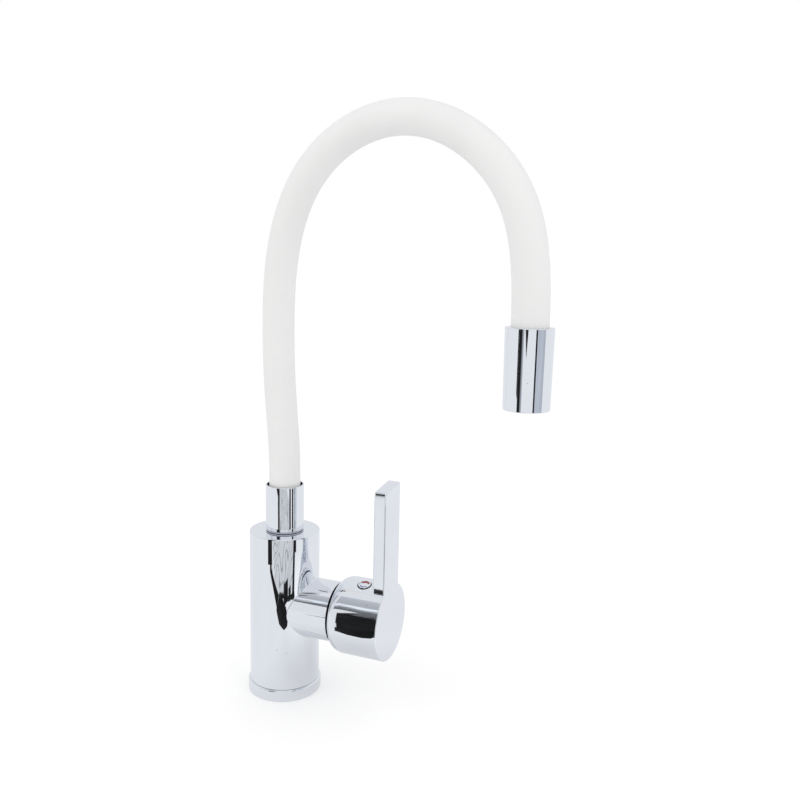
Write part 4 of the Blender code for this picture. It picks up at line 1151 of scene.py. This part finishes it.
class FAUCET_OT_hose(bpy.types.Operator):
    """Make the sleeve and the water hose, bent along the hose's run"""

    bl_idname = "faucet.hose"
    bl_label = "Make hose"

    # The share of a half turn that the hose has turned over by, at even distances along it
    heading_shares = (0, -0.03, -0.008, 0.027, 0.123, 0.286, 0.449, 0.619, 0.773, 0.939, 1)
    run_steps = 440
    sleeve_sides = 64
    water_sides = 24

    # How far the run goes on beyond its ends, how deep the hose sits in the nozzle, where the water hose
    # begins above the sleeve's foot, and the angle from which an edge of a tube is sharp
    spare = 0.04
    tip_depth = 0.0085
    fitting_floor = 0.0023
    sharp_angle = math.radians(40)

    def execute(self, context):
        hose = context.scene.faucet_hose
        self.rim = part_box("collar")[1].z
        self.swing = Matrix.Rotation(hose.spout_turn, 4, "Z")
        route, bender = self.route(hose), self.bender()
        hinges = self.hinges(hose)
        bodies = ["spout"] + [f"hose_{index:02d}" for index in range(1, len(hinges))] + ["nozzle"]
        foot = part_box("hose_sleeve")[0].z - self.rim
        sleeve = (hose.radius, hose.wall, self.sleeve_sides)
        water = (hose.water_radius, hose.water_wall, self.water_sides)
        layers = (
            ("sleeve", foot, sleeve, "matt silicone", "hose_sleeve", "white_silicone"),
            ("water_hose", foot + self.fitting_floor, water, "water hose", "water_hose", "water_hose"),
        )
        last = hose.visible_length + self.tip_depth - FIT
        reach = (hinges[1] - hinges[0]) / 2 - hose.bend_inset
        for name, first, tube, finish, node, slot in layers:
            cuts = [first] + [(a + b) / 2 for a, b in zip(hinges, hinges[1:])] + [last]
            for index, (start, stop) in enumerate(zip(cuts, cuts[1:])):
                mesh = self.bent(route, bender, start, stop, *tube, hose.ring_step, finish)
                near = self.on_route(hose, max(start + hose.bend_inset, hinges[index] - reach))
                far = self.on_route(hose, min(stop - hose.bend_inset, hinges[index] + reach))
                blend = (bodies[index], bodies[index + 1], near, far)
                show(f"{name}_{index + 1:02d}", mesh, finish, blend, [node])
        bpy.data.objects.remove(route)
        return {"FINISHED"}

    def hinges(self, hose):
        """Where the hose bends, as distances from the collar's rim."""
        links = sum(1 for name in frame["bodies"] if name.startswith("hose_"))
        spacing = (hose.visible_length - hose.first_hinge - hose.last_hinge) / links
        return [hose.first_hinge + spacing * index for index in range(links + 1)]

    def heading(self, part):
        """How far the hose has turned over at a share of its visible length."""
        shares = self.heading_shares
        last = len(shares) - 1
        place = min(max(part, 0), 1) * last
        index = min(int(place), last - 1)
        before, here, there, after = (shares[min(max(index + step, 0), last)] for step in (-1, 0, 1, 2))
        part = place - index
        slope_here, slope_there = (there - before) / 2, (after - here) / 2
        smooth = part * part * (3 - 2 * part)
        bend = part * (1 - part) * (slope_here * (1 - part) - slope_there * part)
        return math.pi * (here + (there - here) * smooth + bend)

    def run(self, hose):
        """The hose's middle line as (distance, reach, height), straight beyond both of its ends."""
        step = hose.visible_length / self.run_steps
        points = [(0.0, 0.0, 0.0)]
        for index in range(self.run_steps):
            turn = self.heading((index + 0.5) / self.run_steps)
            distance, reach, height = points[-1]
            points.append((distance + step, reach + step * math.sin(turn), height + step * math.cos(turn)))
        start, end = self.heading(0), self.heading(1)
        _, reach, height = points[-1]
        before = (-self.spare, -self.spare * math.sin(start), -self.spare * math.cos(start))
        after = (self.spare, reach + self.spare * math.sin(end), height + self.spare * math.cos(end))
        return [before] + points + [(hose.visible_length + after[0], after[1], after[2])]

    def on_route(self, hose, distance):
        """The point of the run at a distance from the collar's rim."""
        points = self.run(hose)
        for (low, reach, height), (high, next_reach, next_height) in zip(points, points[1:]):
            if distance <= high:
                part = (distance - low) / (high - low)
                x, z = reach + (next_reach - reach) * part, height + (next_height - height) * part
                return self.swing @ Vector((x, 0.0, self.rim + z))
        raise ValueError("The point lies beyond the hose's run")

    def route(self, hose):
        """The run as a curve that the bending tree samples."""
        curve = bpy.data.curves.new("hose run", "CURVE")
        curve.dimensions = "3D"
        points = self.run(hose)
        spline = curve.splines.new("POLY")
        spline.points.add(len(points) - 1)
        for point, (_, reach, height) in zip(spline.points, points):
            point.co = (*(self.swing @ Vector((reach, 0.0, self.rim + height))), 1.0)
        return placed("hose run", curve)

    def bender(self):
        """Geometry nodes that bend a straight piece, made up along Z, so that it follows a run."""
        kit = Shaper("bend along a run", ("Run", "Object"), ("Across", "Vector"), ("Start", "Float"))
        geometry, run, across, start = (kit.given[label] for label in ("Geometry", "Run", "Across", "Start"))
        place = kit.node("ShaderNodeSeparateXYZ", None, {0: kit.node("GeometryNodeInputPosition")})
        line = kit.node("GeometryNodeObjectInfo", {"transform_space": "ORIGINAL"}, {"Object": run})
        sockets = {"Curves": line.outputs["Geometry"], "Length": kit.wire(place, "Z") + start}
        sample = kit.node("GeometryNodeSampleCurve", {"mode": "LENGTH", "use_all_curves": False}, sockets)
        side = kit.vector("NORMALIZE", kit.vector("CROSS_PRODUCT", across, sample.outputs["Tangent"]))
        sideways = kit.vector("SCALE", across, place.outputs["Y"])
        beside = kit.vector("SCALE", side, place.outputs["X"])
        moved = kit.vector("ADD", sample.outputs["Position"], kit.vector("ADD", sideways, beside))
        kit.end(kit.node("GeometryNodeSetPosition", None, {"Geometry": geometry, "Position": moved}))
        return kit

    def bent(self, route, bender, start, stop, radius, wall, sides, step, finish):
        """One length of tube with its wall, bent along the run."""
        inner, rim = radius - wall, stop - start
        count = max(round(rim / step), 1)
        spans = [straight((inner, 0.0), (radius, 0.0)), straight((radius, 0.0), (radius, rim), count)]
        spans += [straight((radius, rim), (inner, rim)), straight((inner, rim), (inner, 0.0), count)]
        skin = Skin()
        skin.turn(spans, turns=even_turns(sides))
        values = {
            "Run": route,
            "Across": self.swing.to_3x3() @ Vector((0.0, 1.0, 0.0)),
            "Start": start + self.spare,
            "Material": bpy.data.materials[finish],
        }
        mesh = bender.shaped(skin.mesh("length of tube", exact=False), values)
        mesh.polygons.foreach_set("use_smooth", [True] * len(mesh.polygons))
        mesh.set_sharp_from_angle(angle=self.sharp_angle)
        return mesh


class FAUCET_OT_nozzle(bpy.types.Operator):
    """Make the nozzle, and the aerator with its comb"""

    bl_idname = "faucet.nozzle"
    bl_label = "Make nozzle"

    # The aerator's ring with the lip under its cage
    lip_width = 0.0011
    lip_height = 0.001
    housing_wall = 0.0014
    cage_sides = 128

    # The comb: cells laid beyond its radius, the share of a cell cut off the radius, and the merging distance
    spare_cells = 2.0
    rim_share = 0.15
    merged = 1e-6

    def execute(self, context):
        nozzle = context.scene.faucet_nozzle
        low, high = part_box("nozzle_sleeve")
        mouth = context.scene.faucet_hose.radius + FIT
        place = Matrix.Translation(((low.x + high.x) / 2, (low.y + high.y) / 2, 0.0))
        bore = nozzle.bottom_radius - nozzle.wall
        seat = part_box("aerator_washer")[1].z + FIT
        seat_radius = bore - nozzle.seat_width
        section = [
            (bore, low.z, TRIM_ROUND),
            (nozzle.bottom_radius, low.z, nozzle.edge),
            (nozzle.top_radius, high.z, nozzle.edge),
            (mouth, high.z, TRIM_ROUND),
            (mouth, high.z - nozzle.top_wall),
            (bore, high.z - nozzle.top_wall),
            (bore, seat + nozzle.seat_height),
            (seat_radius, seat + nozzle.seat_height),
            (seat_radius, seat),
            (bore, seat),
        ]
        tube = turned("nozzle_tube", section, place)
        show("nozzle_tube", tube, "polished chrome", "nozzle", ["nozzle_sleeve"])
        self.aerator(nozzle, place, bore)
        return {"FINISHED"}

    def aerator(self, nozzle, place, bore):
        """The ring that screws into the nozzle, and the cage that carries the comb."""
        low, high = (corner.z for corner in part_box("aerator_housing"))
        outer = bore - FIT
        inner = outer - self.housing_wall
        mouth = inner - self.lip_width
        section = [
            (mouth, low, TRIM_ROUND),
            (outer, low, TRIM_ROUND * 2),
            (outer, high),
            (inner, high),
            (inner, low + self.lip_height),
            (mouth, low + self.lip_height, TRIM_ROUND),
        ]
        ring = turned("aerator_ring", section, place)
        show("aerator_ring", ring, "polished chrome", "nozzle", ["aerator_housing"])
        low, high = (corner.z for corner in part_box("aerator_insert"))
        edge = inner - FIT
        hole = edge - nozzle.cage_wall
        section = [(hole, low, TRIM_ROUND), (edge, low), (edge, high), (hole, high)]
        cage = turned("aerator_cage", section, place, self.cage_sides)
        comb = self.comb(nozzle, edge - nozzle.cage_wall / 2, place, low + TRIM_ROUND)
        for name, mesh in (("aerator_cage", cage), ("aerator_comb", comb)):
            show(name, mesh, "white plastic", "nozzle", ["aerator_insert"])

    def comb(self, nozzle, radius, place, low):
        """Geometry nodes lay six-sided cells inside a circle, open them and give the comb its thickness."""
        labels = ("Radius", "Pitch", "Open share", "Depth")
        kit = Shaper("six-sided comb", *((label, "Float") for label in labels))
        reach, pitch = Wire(kit, kit.given["Radius"]), Wire(kit, kit.given["Pitch"])
        half = (reach / pitch + self.spare_cells).math("CEIL")
        count, size = half * 2.0 + 1.0, half * 2.0 * pitch
        sockets = {"Size X": size, "Size Y": size, "Vertices X": count, "Vertices Y": count}
        lattice = kit.node("GeometryNodeMeshGrid", None, sockets)
        spot = kit.node("GeometryNodeInputPosition")
        parts = kit.node("ShaderNodeSeparateXYZ", None, {0: spot})
        x, y = kit.wire(parts, "X"), kit.wire(parts, "Y")
        shift = (y / pitch).math("ROUND").math("PINGPONG", 1.0) * 0.5 * pitch
        staggered = kit.node("ShaderNodeCombineXYZ", None, {"X": x + shift, "Y": y * (math.sqrt(3) / 2)})
        rows = kit.node("GeometryNodeSetPosition", None, {"Geometry": lattice, "Position": staggered})
        triangles = kit.node("GeometryNodeTriangulate", None, {0: rows})
        beyond = kit.vector("LENGTH", spot).math("GREATER_THAN", reach - pitch * self.rim_share)
        sockets = {"Geometry": triangles, "Selection": beyond}
        kept = kit.node("GeometryNodeDeleteGeometry", {"domain": "POINT"}, sockets)
        cells = kit.node("GeometryNodeDualMesh", None, {0: kept})
        sockets = {"Mesh": cells, "Individual": True, "Offset Scale": 0.0}
        opened = kit.node("GeometryNodeExtrudeMesh", {"mode": "FACES"}, sockets)
        sockets = {"Geometry": opened, "Selection": opened.outputs["Top"], "Scale": kit.given["Open share"]}
        shrunk = kit.node("GeometryNodeScaleElements", {"domain": "FACE"}, sockets)
        sockets = {"Geometry": shrunk, "Selection": opened.outputs["Top"]}
        net = kit.node("GeometryNodeDeleteGeometry", {"domain": "FACE"}, sockets)
        flat = kit.node("GeometryNodeMergeByDistance", None, {"Geometry": net, "Distance": self.merged})
        up = kit.node("ShaderNodeCombineXYZ", None, {"Z": 1.0})
        sockets = {"Mesh": flat, "Offset": up, "Offset Scale": kit.given["Depth"], "Individual": False}
        raised = kit.node("GeometryNodeExtrudeMesh", {"mode": "FACES"}, sockets)
        both = kit.node("GeometryNodeJoinGeometry", None, {0: raised})
        kit.feed(both.inputs[0], kit.node("GeometryNodeFlipFaces", None, {0: flat}))
        kit.end(kit.node("GeometryNodeMergeByDistance", None, {"Geometry": both, "Distance": self.merged}))
        values = {
            "Radius": radius,
            "Pitch": nozzle.comb_pitch,
            "Open share": nozzle.comb_open,
            "Depth": nozzle.comb_depth,
            "Material": bpy.data.materials["white plastic"],
        }
        mesh = kit.shaped(bpy.data.meshes.new("comb"), values)
        if not mesh.polygons:
            raise ValueError("The comb came out empty")
        mesh.transform(place @ Matrix.Translation((0.0, 0.0, low)))
        return mesh


class FAUCET_OT_stage(bpy.types.Operator):
    """Set the camera, the floor, the light and the dark cards that the plating mirrors"""

    bl_idname = "faucet.stage"
    bl_label = "Set stage"

    # The camera's sensor in millimetres, and the tint of what the plating mirrors below
    sensor = 36.0
    tint = (0.985, 1.0, 1.03)

    # The floor's half width in metres, its own shade, its glow in the picture, and its light on the object
    floor_half = 6.0
    floor_shade = (0.62, 0.62, 0.62, 1)
    floor_lift = 0.42
    floor_bounce = 0.88

    # Middles of the two pools of shade that the plating sees on the floor, and their scale per metre
    near_pool = (0.07, -0.005)
    far_pool = (0.19, -0.05)
    pool_scale = 5.0

    # Lamps as (name, place, width), and the spot that they face
    lamps = (("key", (-0.7, -0.9, 1.3), 0.9), ("fill", (1.2, -0.5, 0.8), 0.8))
    lamp_aim = (0.07, -0.04, 0.2)

    # Dark cards, in millimetres. A ribbon is how far it lies from the upright to the floor, then its
    # middle line and widths as (x, y, width)
    table_edges = (
        (
            0.04, (-135, -460, 40), (-100, -350, 36), (-72, -270, 28),
            (-28, -246, 26), (0, -226, 30), (28, -200, 38),
        ),
        (0.5, (28, -200, 50), (56, -172, 64), (84, -142, 50), (96, -124, 16)),
        (0.5, (50, -215, 10), (100, -190, 14), (125, -166, 14), (160, -138, 14), (188, -110, 16)),
        (0.5, (165, -118, 24), (230, -150, 30), (320, -190, 36), (400, -222, 40)),
    )

    # Cloths and the window's sill lie flat, at this height
    flat_height = 0.5
    cloths = (
        (
            (2, -228), (55, -198), (92, -172), (150, -150), (188, -118), (330, -200),
            (430, -240), (300, -640), (-100, -600), (-104, -465), (-68, -380),
        ),
        ((-58, -262), (-34, -252), (-86, -380), (-102, -400)),
    )
    sill = ((-262, -700), (-85, -700), (-100, -516), (-150, -516), (-230, -540))

    # Uprights are (x, y, end x, end y, low, high)
    near_cards = ((40, -81, 64, -81, 43, 62), (43, -53, 54, -53, 57, 67))
    window = (-262, -700, -85, -700, 0, 330)
    window_tops = ((-262, -700, -85, -700, 330, 2400), (-1100, -700, -262, -700, 520, 2400))
    window_fade = (-85, -700, 45, -700, 0, 400)
    side_card = (-147, -450, -95, -450, 150, 262)

    # Uprights round a centre are (start, end, reach, low, high), their bearings in degrees from the front
    slat_centre = (5, -12)
    slats = ((-20, -7, 18, 100, 150), (58, 67, 150, 62, 125), (84, 94, 24, 118, 150))
    nozzle_centre = (188, -48)
    right_flag = (43, 51, 700, 0, 400)
    right_panel = (51, 92, 720, 0, 400)

    # A slanted card in the window's plane, as (x, z)
    window_plane = -700
    wedge = ((195, 178), (212, 178), (300, 235), (68, 235))

    # Halvings that find the spot on the upright which mirrors a floor point to the camera
    halvings = 40

    def execute(self, context):
        stage = context.scene.faucet_stage
        self.camera(context, stage)
        self.world(context, stage)
        self.floor(stage)
        self.light(stage)
        self.cards(context, stage)
        context.scene.view_settings.view_transform = "Standard"
        return {"FINISHED"}

    def camera(self, context, stage):
        """The camera's axes from its heading, pitch and roll."""
        right = Vector((math.cos(stage.heading), -math.sin(stage.heading), 0.0))
        level = Vector((math.sin(stage.heading), math.cos(stage.heading), 0.0))
        look = level * math.cos(stage.pitch) - Vector((0, 0, math.sin(stage.pitch)))
        up = right.cross(look)
        axis_x = right * math.cos(stage.roll) + up * math.sin(stage.roll)
        axis_y = -right * math.sin(stage.roll) + up * math.cos(stage.roll)
        data = bpy.data.cameras.new("camera")
        data.lens = stage.lens
        data.sensor_width = self.sensor
        camera = placed("camera", data)
        turn = Matrix((axis_x, axis_y, -look)).transposed().to_4x4()
        camera.matrix_world = Matrix.Translation(stage.camera_place) @ turn
        context.scene.camera = camera

    def world(self, context, stage):
        """White behind the object, pale blue-grey in the plating, and an even light elsewhere."""
        world = bpy.data.worlds.new("surround")
        context.scene.world = world
        world.use_nodes = True
        world.node_tree.nodes.clear()
        kit = Tree(world.node_tree)
        path = kit.node("ShaderNodeLightPath").outputs
        shades = ((WHITE, stage.surround), ((*stage.mirrored, 1), 1.0), (WHITE, stage.white))
        plain, mirrored, seen = (
            kit.node("ShaderNodeBackground", None, {"Color": shade, "Strength": strength})
            for shade, strength in shades
        )
        through = kit.math("MAXIMUM", path["Is Camera Ray"], path["Is Transmission Ray"])
        lit = kit.mixed_shader(path["Is Glossy Ray"], plain, mirrored)
        kit.node("ShaderNodeOutputWorld", None, {0: kit.mixed_shader(through, lit, seen)})

    def floor(self, stage):
        """A white floor that keeps the object's shadow. It is shaded in the plating, and clear from below."""
        half = self.floor_half
        corners = [(-half, -half, 0), (half, -half, 0), (half, half, 0), (-half, half, 0)]
        mesh = bpy.data.meshes.new("floor")
        mesh.from_pydata(corners, [], [range(len(corners))])
        kit = Glow("studio floor")
        path = kit.node("ShaderNodeLightPath").outputs
        matt = kit.node("ShaderNodeBsdfDiffuse", None, {"Color": self.floor_shade})
        lift, bounce = (
            kit.node("ShaderNodeEmission", None, {"Color": WHITE, "Strength": strength})
            for strength in (self.floor_lift * stage.white, self.floor_bounce)
        )
        seen = kit.node("ShaderNodeAddShader", None, {0: matt, 1: lift})
        near = kit.ramp(kit.away(*self.near_pool) * self.pool_scale, (0.15, 0.70), (0.60, 0.86))
        far = kit.ramp(kit.away(*self.far_pool) * self.pool_scale, (0.20, 0.16), (0.70, 0.0))
        sheen = kit.wave(9.0) * 0.06 - 0.03
        mirrored = kit.emission(near + far + sheen, self.tint)
        above = kit.mixed_shader(path["Is Camera Ray"], bounce, seen)
        above = kit.mixed_shader(path["Is Glossy Ray"], above, mirrored)
        behind = kit.node("ShaderNodeNewGeometry").outputs["Backfacing"]
        clear = kit.node("ShaderNodeBsdfTransparent")
        mesh.materials.append(kit.finish(kit.mixed_shader(behind, above, clear)))
        placed("floor", mesh)

    def light(self, stage):
        """Two large soft lights that the plating doesn't mirror."""
        for name, place, width in self.lamps:
            data = bpy.data.lights.new(name, "AREA")
            data.shape = "DISK"
            data.size = width
            data.energy = getattr(stage, name)
            lamp = placed(name, data)
            lamp.location = place
            aim = Vector(self.lamp_aim) - Vector(place)
            lamp.rotation_euler = aim.to_track_quat("-Z", "Y").to_euler()
            lamp.visible_glossy = False
            lamp.visible_camera = False

    def cards(self, context, stage):
        """Black flags that only the plating sees, as a photographer sets them round bright metal."""
        radius = context.scene.faucet_body.radius * 1000
        lens = [part * 1000 for part in stage.camera_place]
        black, cloth, bands = self.black(), self.cloth(), self.window_bands()
        cards = []
        for index, (way, *ribbon) in enumerate(self.table_edges):
            for part, quad in enumerate(self.ribbon(ribbon)):
                corners = [self.before_upright(radius, lens, x, y, way) for x, y in quad]
                cards.append((f"edge_flag_{index}_{part}", corners, black))
        for index, outline in enumerate(self.cloths):
            cards.append((f"cloth_{index}", self.laid(outline), cloth))
        for index, card in enumerate(self.near_cards):
            cards.append((f"near_flag_{index}", self.upright(*card), black))
        for index, slat in enumerate(self.slats):
            cards.append((f"slat_{index}", self.round_upright(self.slat_centre, *slat), black))
        cards.append(("window", self.upright(*self.window), black))
        cards.append(("window_sill", self.laid(self.sill), black))
        for index, top in enumerate(self.window_tops):
            cards.append((f"window_top_{index}", self.upright(*top), bands))
        cards.append(("window_fade", self.upright(*self.window_fade), self.fade()))
        cards.append(("side_flag", self.upright(*self.side_card), black))
        cards.append(("wedge", [(x, self.window_plane, z) for x, z in self.wedge], black))
        cards.append(("right_flag", self.round_upright(self.nozzle_centre, *self.right_flag), black))
        cards.append(("right_panel", self.round_upright(self.nozzle_centre, *self.right_panel), self.slate()))
        for card in cards:
            self.card(*card)

    def card(self, name, corners, material):
        mesh = bpy.data.meshes.new(name)
        mesh.from_pydata([Vector(corner) / 1000 for corner in corners], [], [range(len(corners))])
        mesh.materials.append(material)
        card = placed(name, mesh)
        for kind in ("camera", "diffuse", "transmission", "volume_scatter", "shadow"):
            setattr(card, f"visible_{kind}", False)

    def laid(self, outline):
        return [(x, y, self.flat_height) for x, y in outline]

    def upright(self, x, y, end_x, end_y, low, high):
        return [(x, y, low), (end_x, end_y, low), (end_x, end_y, high), (x, y, high)]

    def round_upright(self, centre, start, end, reach, low, high):
        """An upright card between two bearings from a centre, measured from the front towards the right."""
        turns = [math.radians(bearing) for bearing in (start, end)]
        ends = [(centre[0] + reach * math.sin(turn), centre[1] - reach * math.cos(turn)) for turn in turns]
        return self.upright(*ends[0], *ends[1], low, high)

    def ribbon(self, points):
        """The quads of a ribbon whose middle line and widths are given."""
        sides = []
        for index, (x, y, width) in enumerate(points):
            before, after = points[max(index - 1, 0)], points[min(index + 1, len(points) - 1)]
            along = Vector((after[0] - before[0], after[1] - before[1])).normalized()
            across = Vector((-along.y, along.x)) * width / 2
            sides.append((Vector((x, y)) + across, Vector((x, y)) - across))
        return [(a[0], b[0], b[1], a[1]) for a, b in zip(sides, sides[1:])]

    def before_upright(self, radius, lens, x, y, way):
        """A place on the way from the spot on the upright that mirrors a floor point, to that point."""
        eye, target = Vector(lens[:2]), Vector((x, y))
        near, far = math.atan2(target.y, target.x), math.atan2(eye.y, eye.x)
        for _ in range(self.halvings):
            turn = (near + far) / 2
            out = Vector((math.cos(turn), math.sin(turn)))
            spot = out * radius
            to_eye, to_target = (eye - spot).normalized(), (target - spot).normalized()
            if to_target.dot(out) < to_eye.dot(out):
                far = turn
            else:
                near = turn
        paths = (target - spot).length, (eye - spot).length
        height = lens[2] * paths[0] / sum(paths)
        place = spot.lerp(target, way)
        return place.x, place.y, height * (1 - way)

    def black(self):
        kit = Glow("black flag")
        return kit.finish(kit.emission(kit.wave(30.0) * 0.03, self.tint))

    def slate(self):
        kit = Glow("slate panel")
        return kit.finish(kit.emission(kit.wave(6.0) * 0.25 + 0.42, (0.93, 1.0, 1.12)))

    def cloth(self):
        """Pale grey cloth with wavy folds."""
        kit = Glow("cloth")
        folds = ((kit.wave(7.0, 1.5) + kit.y * 3.5) * 7.0).math("FRACT")
        lines = kit.ramp(folds, (0.0, 0.0), (0.12, 0.5), (0.26, 0.0))
        mottle = kit.wave(38.0, 3.0) * 0.16
        return kit.finish(kit.emission(mottle - lines + 0.60, (0.97, 1.0, 1.03)))

    def window_bands(self):
        """Grey and bright bands above the dark window, their edges wavy."""
        kit = Glow("window bands")
        height = (kit.z + kit.wave(9.0, 2.0, 14.0) * 0.5 - 0.25) / 2.4
        dark = ((0.0, 0.01), (0.155, 0.01), (0.165, 0.13), (0.25, 0.16), (0.30, 0.42))
        bright = ((0.325, 0.95), (0.36, 0.95), (0.39, 0.45), (1.0, 0.6))
        shade = kit.ramp(height, *dark, *bright)
        return kit.finish(kit.emission(shade + kit.wave(26.0) * 0.02, (0.95, 1.0, 1.07)))

    def fade(self):
        """From dark to grey, from the window towards the right."""
        kit = Glow("fade")
        shade = kit.ramp((kit.x + 0.085) / 0.13, (0.0, 0.012), (0.35, 0.25), (1.0, 0.55))
        return kit.finish(kit.emission(shade, (0.93, 1.0, 1.1)))


class FAUCET_PT_panel(bpy.types.Panel):
    """The faucet's operators, and the values that they read"""

    bl_idname = "FAUCET_PT_panel"
    bl_label = "Faucet"
    bl_space_type = "VIEW_3D"
    bl_region_type = "UI"
    bl_category = "Faucet"

    def draw(self, context):
        for operator in OPERATORS:
            self.layout.operator(operator.bl_idname)
        for name in GROUPS:
            box = self.layout.box()
            box.label(text=name.replace("faucet_", "").capitalize())
            group = getattr(context.scene, name)
            for field in group.__annotations__:
                box.prop(group, field)


GROUPS = {
    "faucet_body": FAUCET_PG_body,
    "faucet_handle": FAUCET_PG_handle,
    "faucet_hose": FAUCET_PG_hose,
    "faucet_nozzle": FAUCET_PG_nozzle,
    "faucet_finish": FAUCET_PG_finish,
    "faucet_stage": FAUCET_PG_stage,
}
OPERATORS = (
    FAUCET_OT_finishes,
    FAUCET_OT_body,
    FAUCET_OT_spout_foot,
    FAUCET_OT_handle,
    FAUCET_OT_hose,
    FAUCET_OT_nozzle,
    FAUCET_OT_stage,
)


def register():
    for name, group in GROUPS.items():
        bpy.utils.register_class(group)
        setattr(bpy.types.Scene, name, bpy.props.PointerProperty(type=group))
    for operator in OPERATORS:
        bpy.utils.register_class(operator)
    bpy.utils.register_class(FAUCET_PT_panel)


def unregister():
    bpy.utils.unregister_class(FAUCET_PT_panel)
    for operator in reversed(OPERATORS):
        bpy.utils.unregister_class(operator)
    for name, group in GROUPS.items():
        delattr(bpy.types.Scene, name)
        bpy.utils.unregister_class(group)


def main():
    register()
    bpy.ops.faucet.finishes()
    bpy.ops.faucet.body()
    bpy.ops.faucet.spout_foot()
    bpy.ops.faucet.handle()
    bpy.ops.faucet.hose()
    bpy.ops.faucet.nozzle()
    bpy.ops.faucet.stage()


if __name__ == "__main__":
    main()
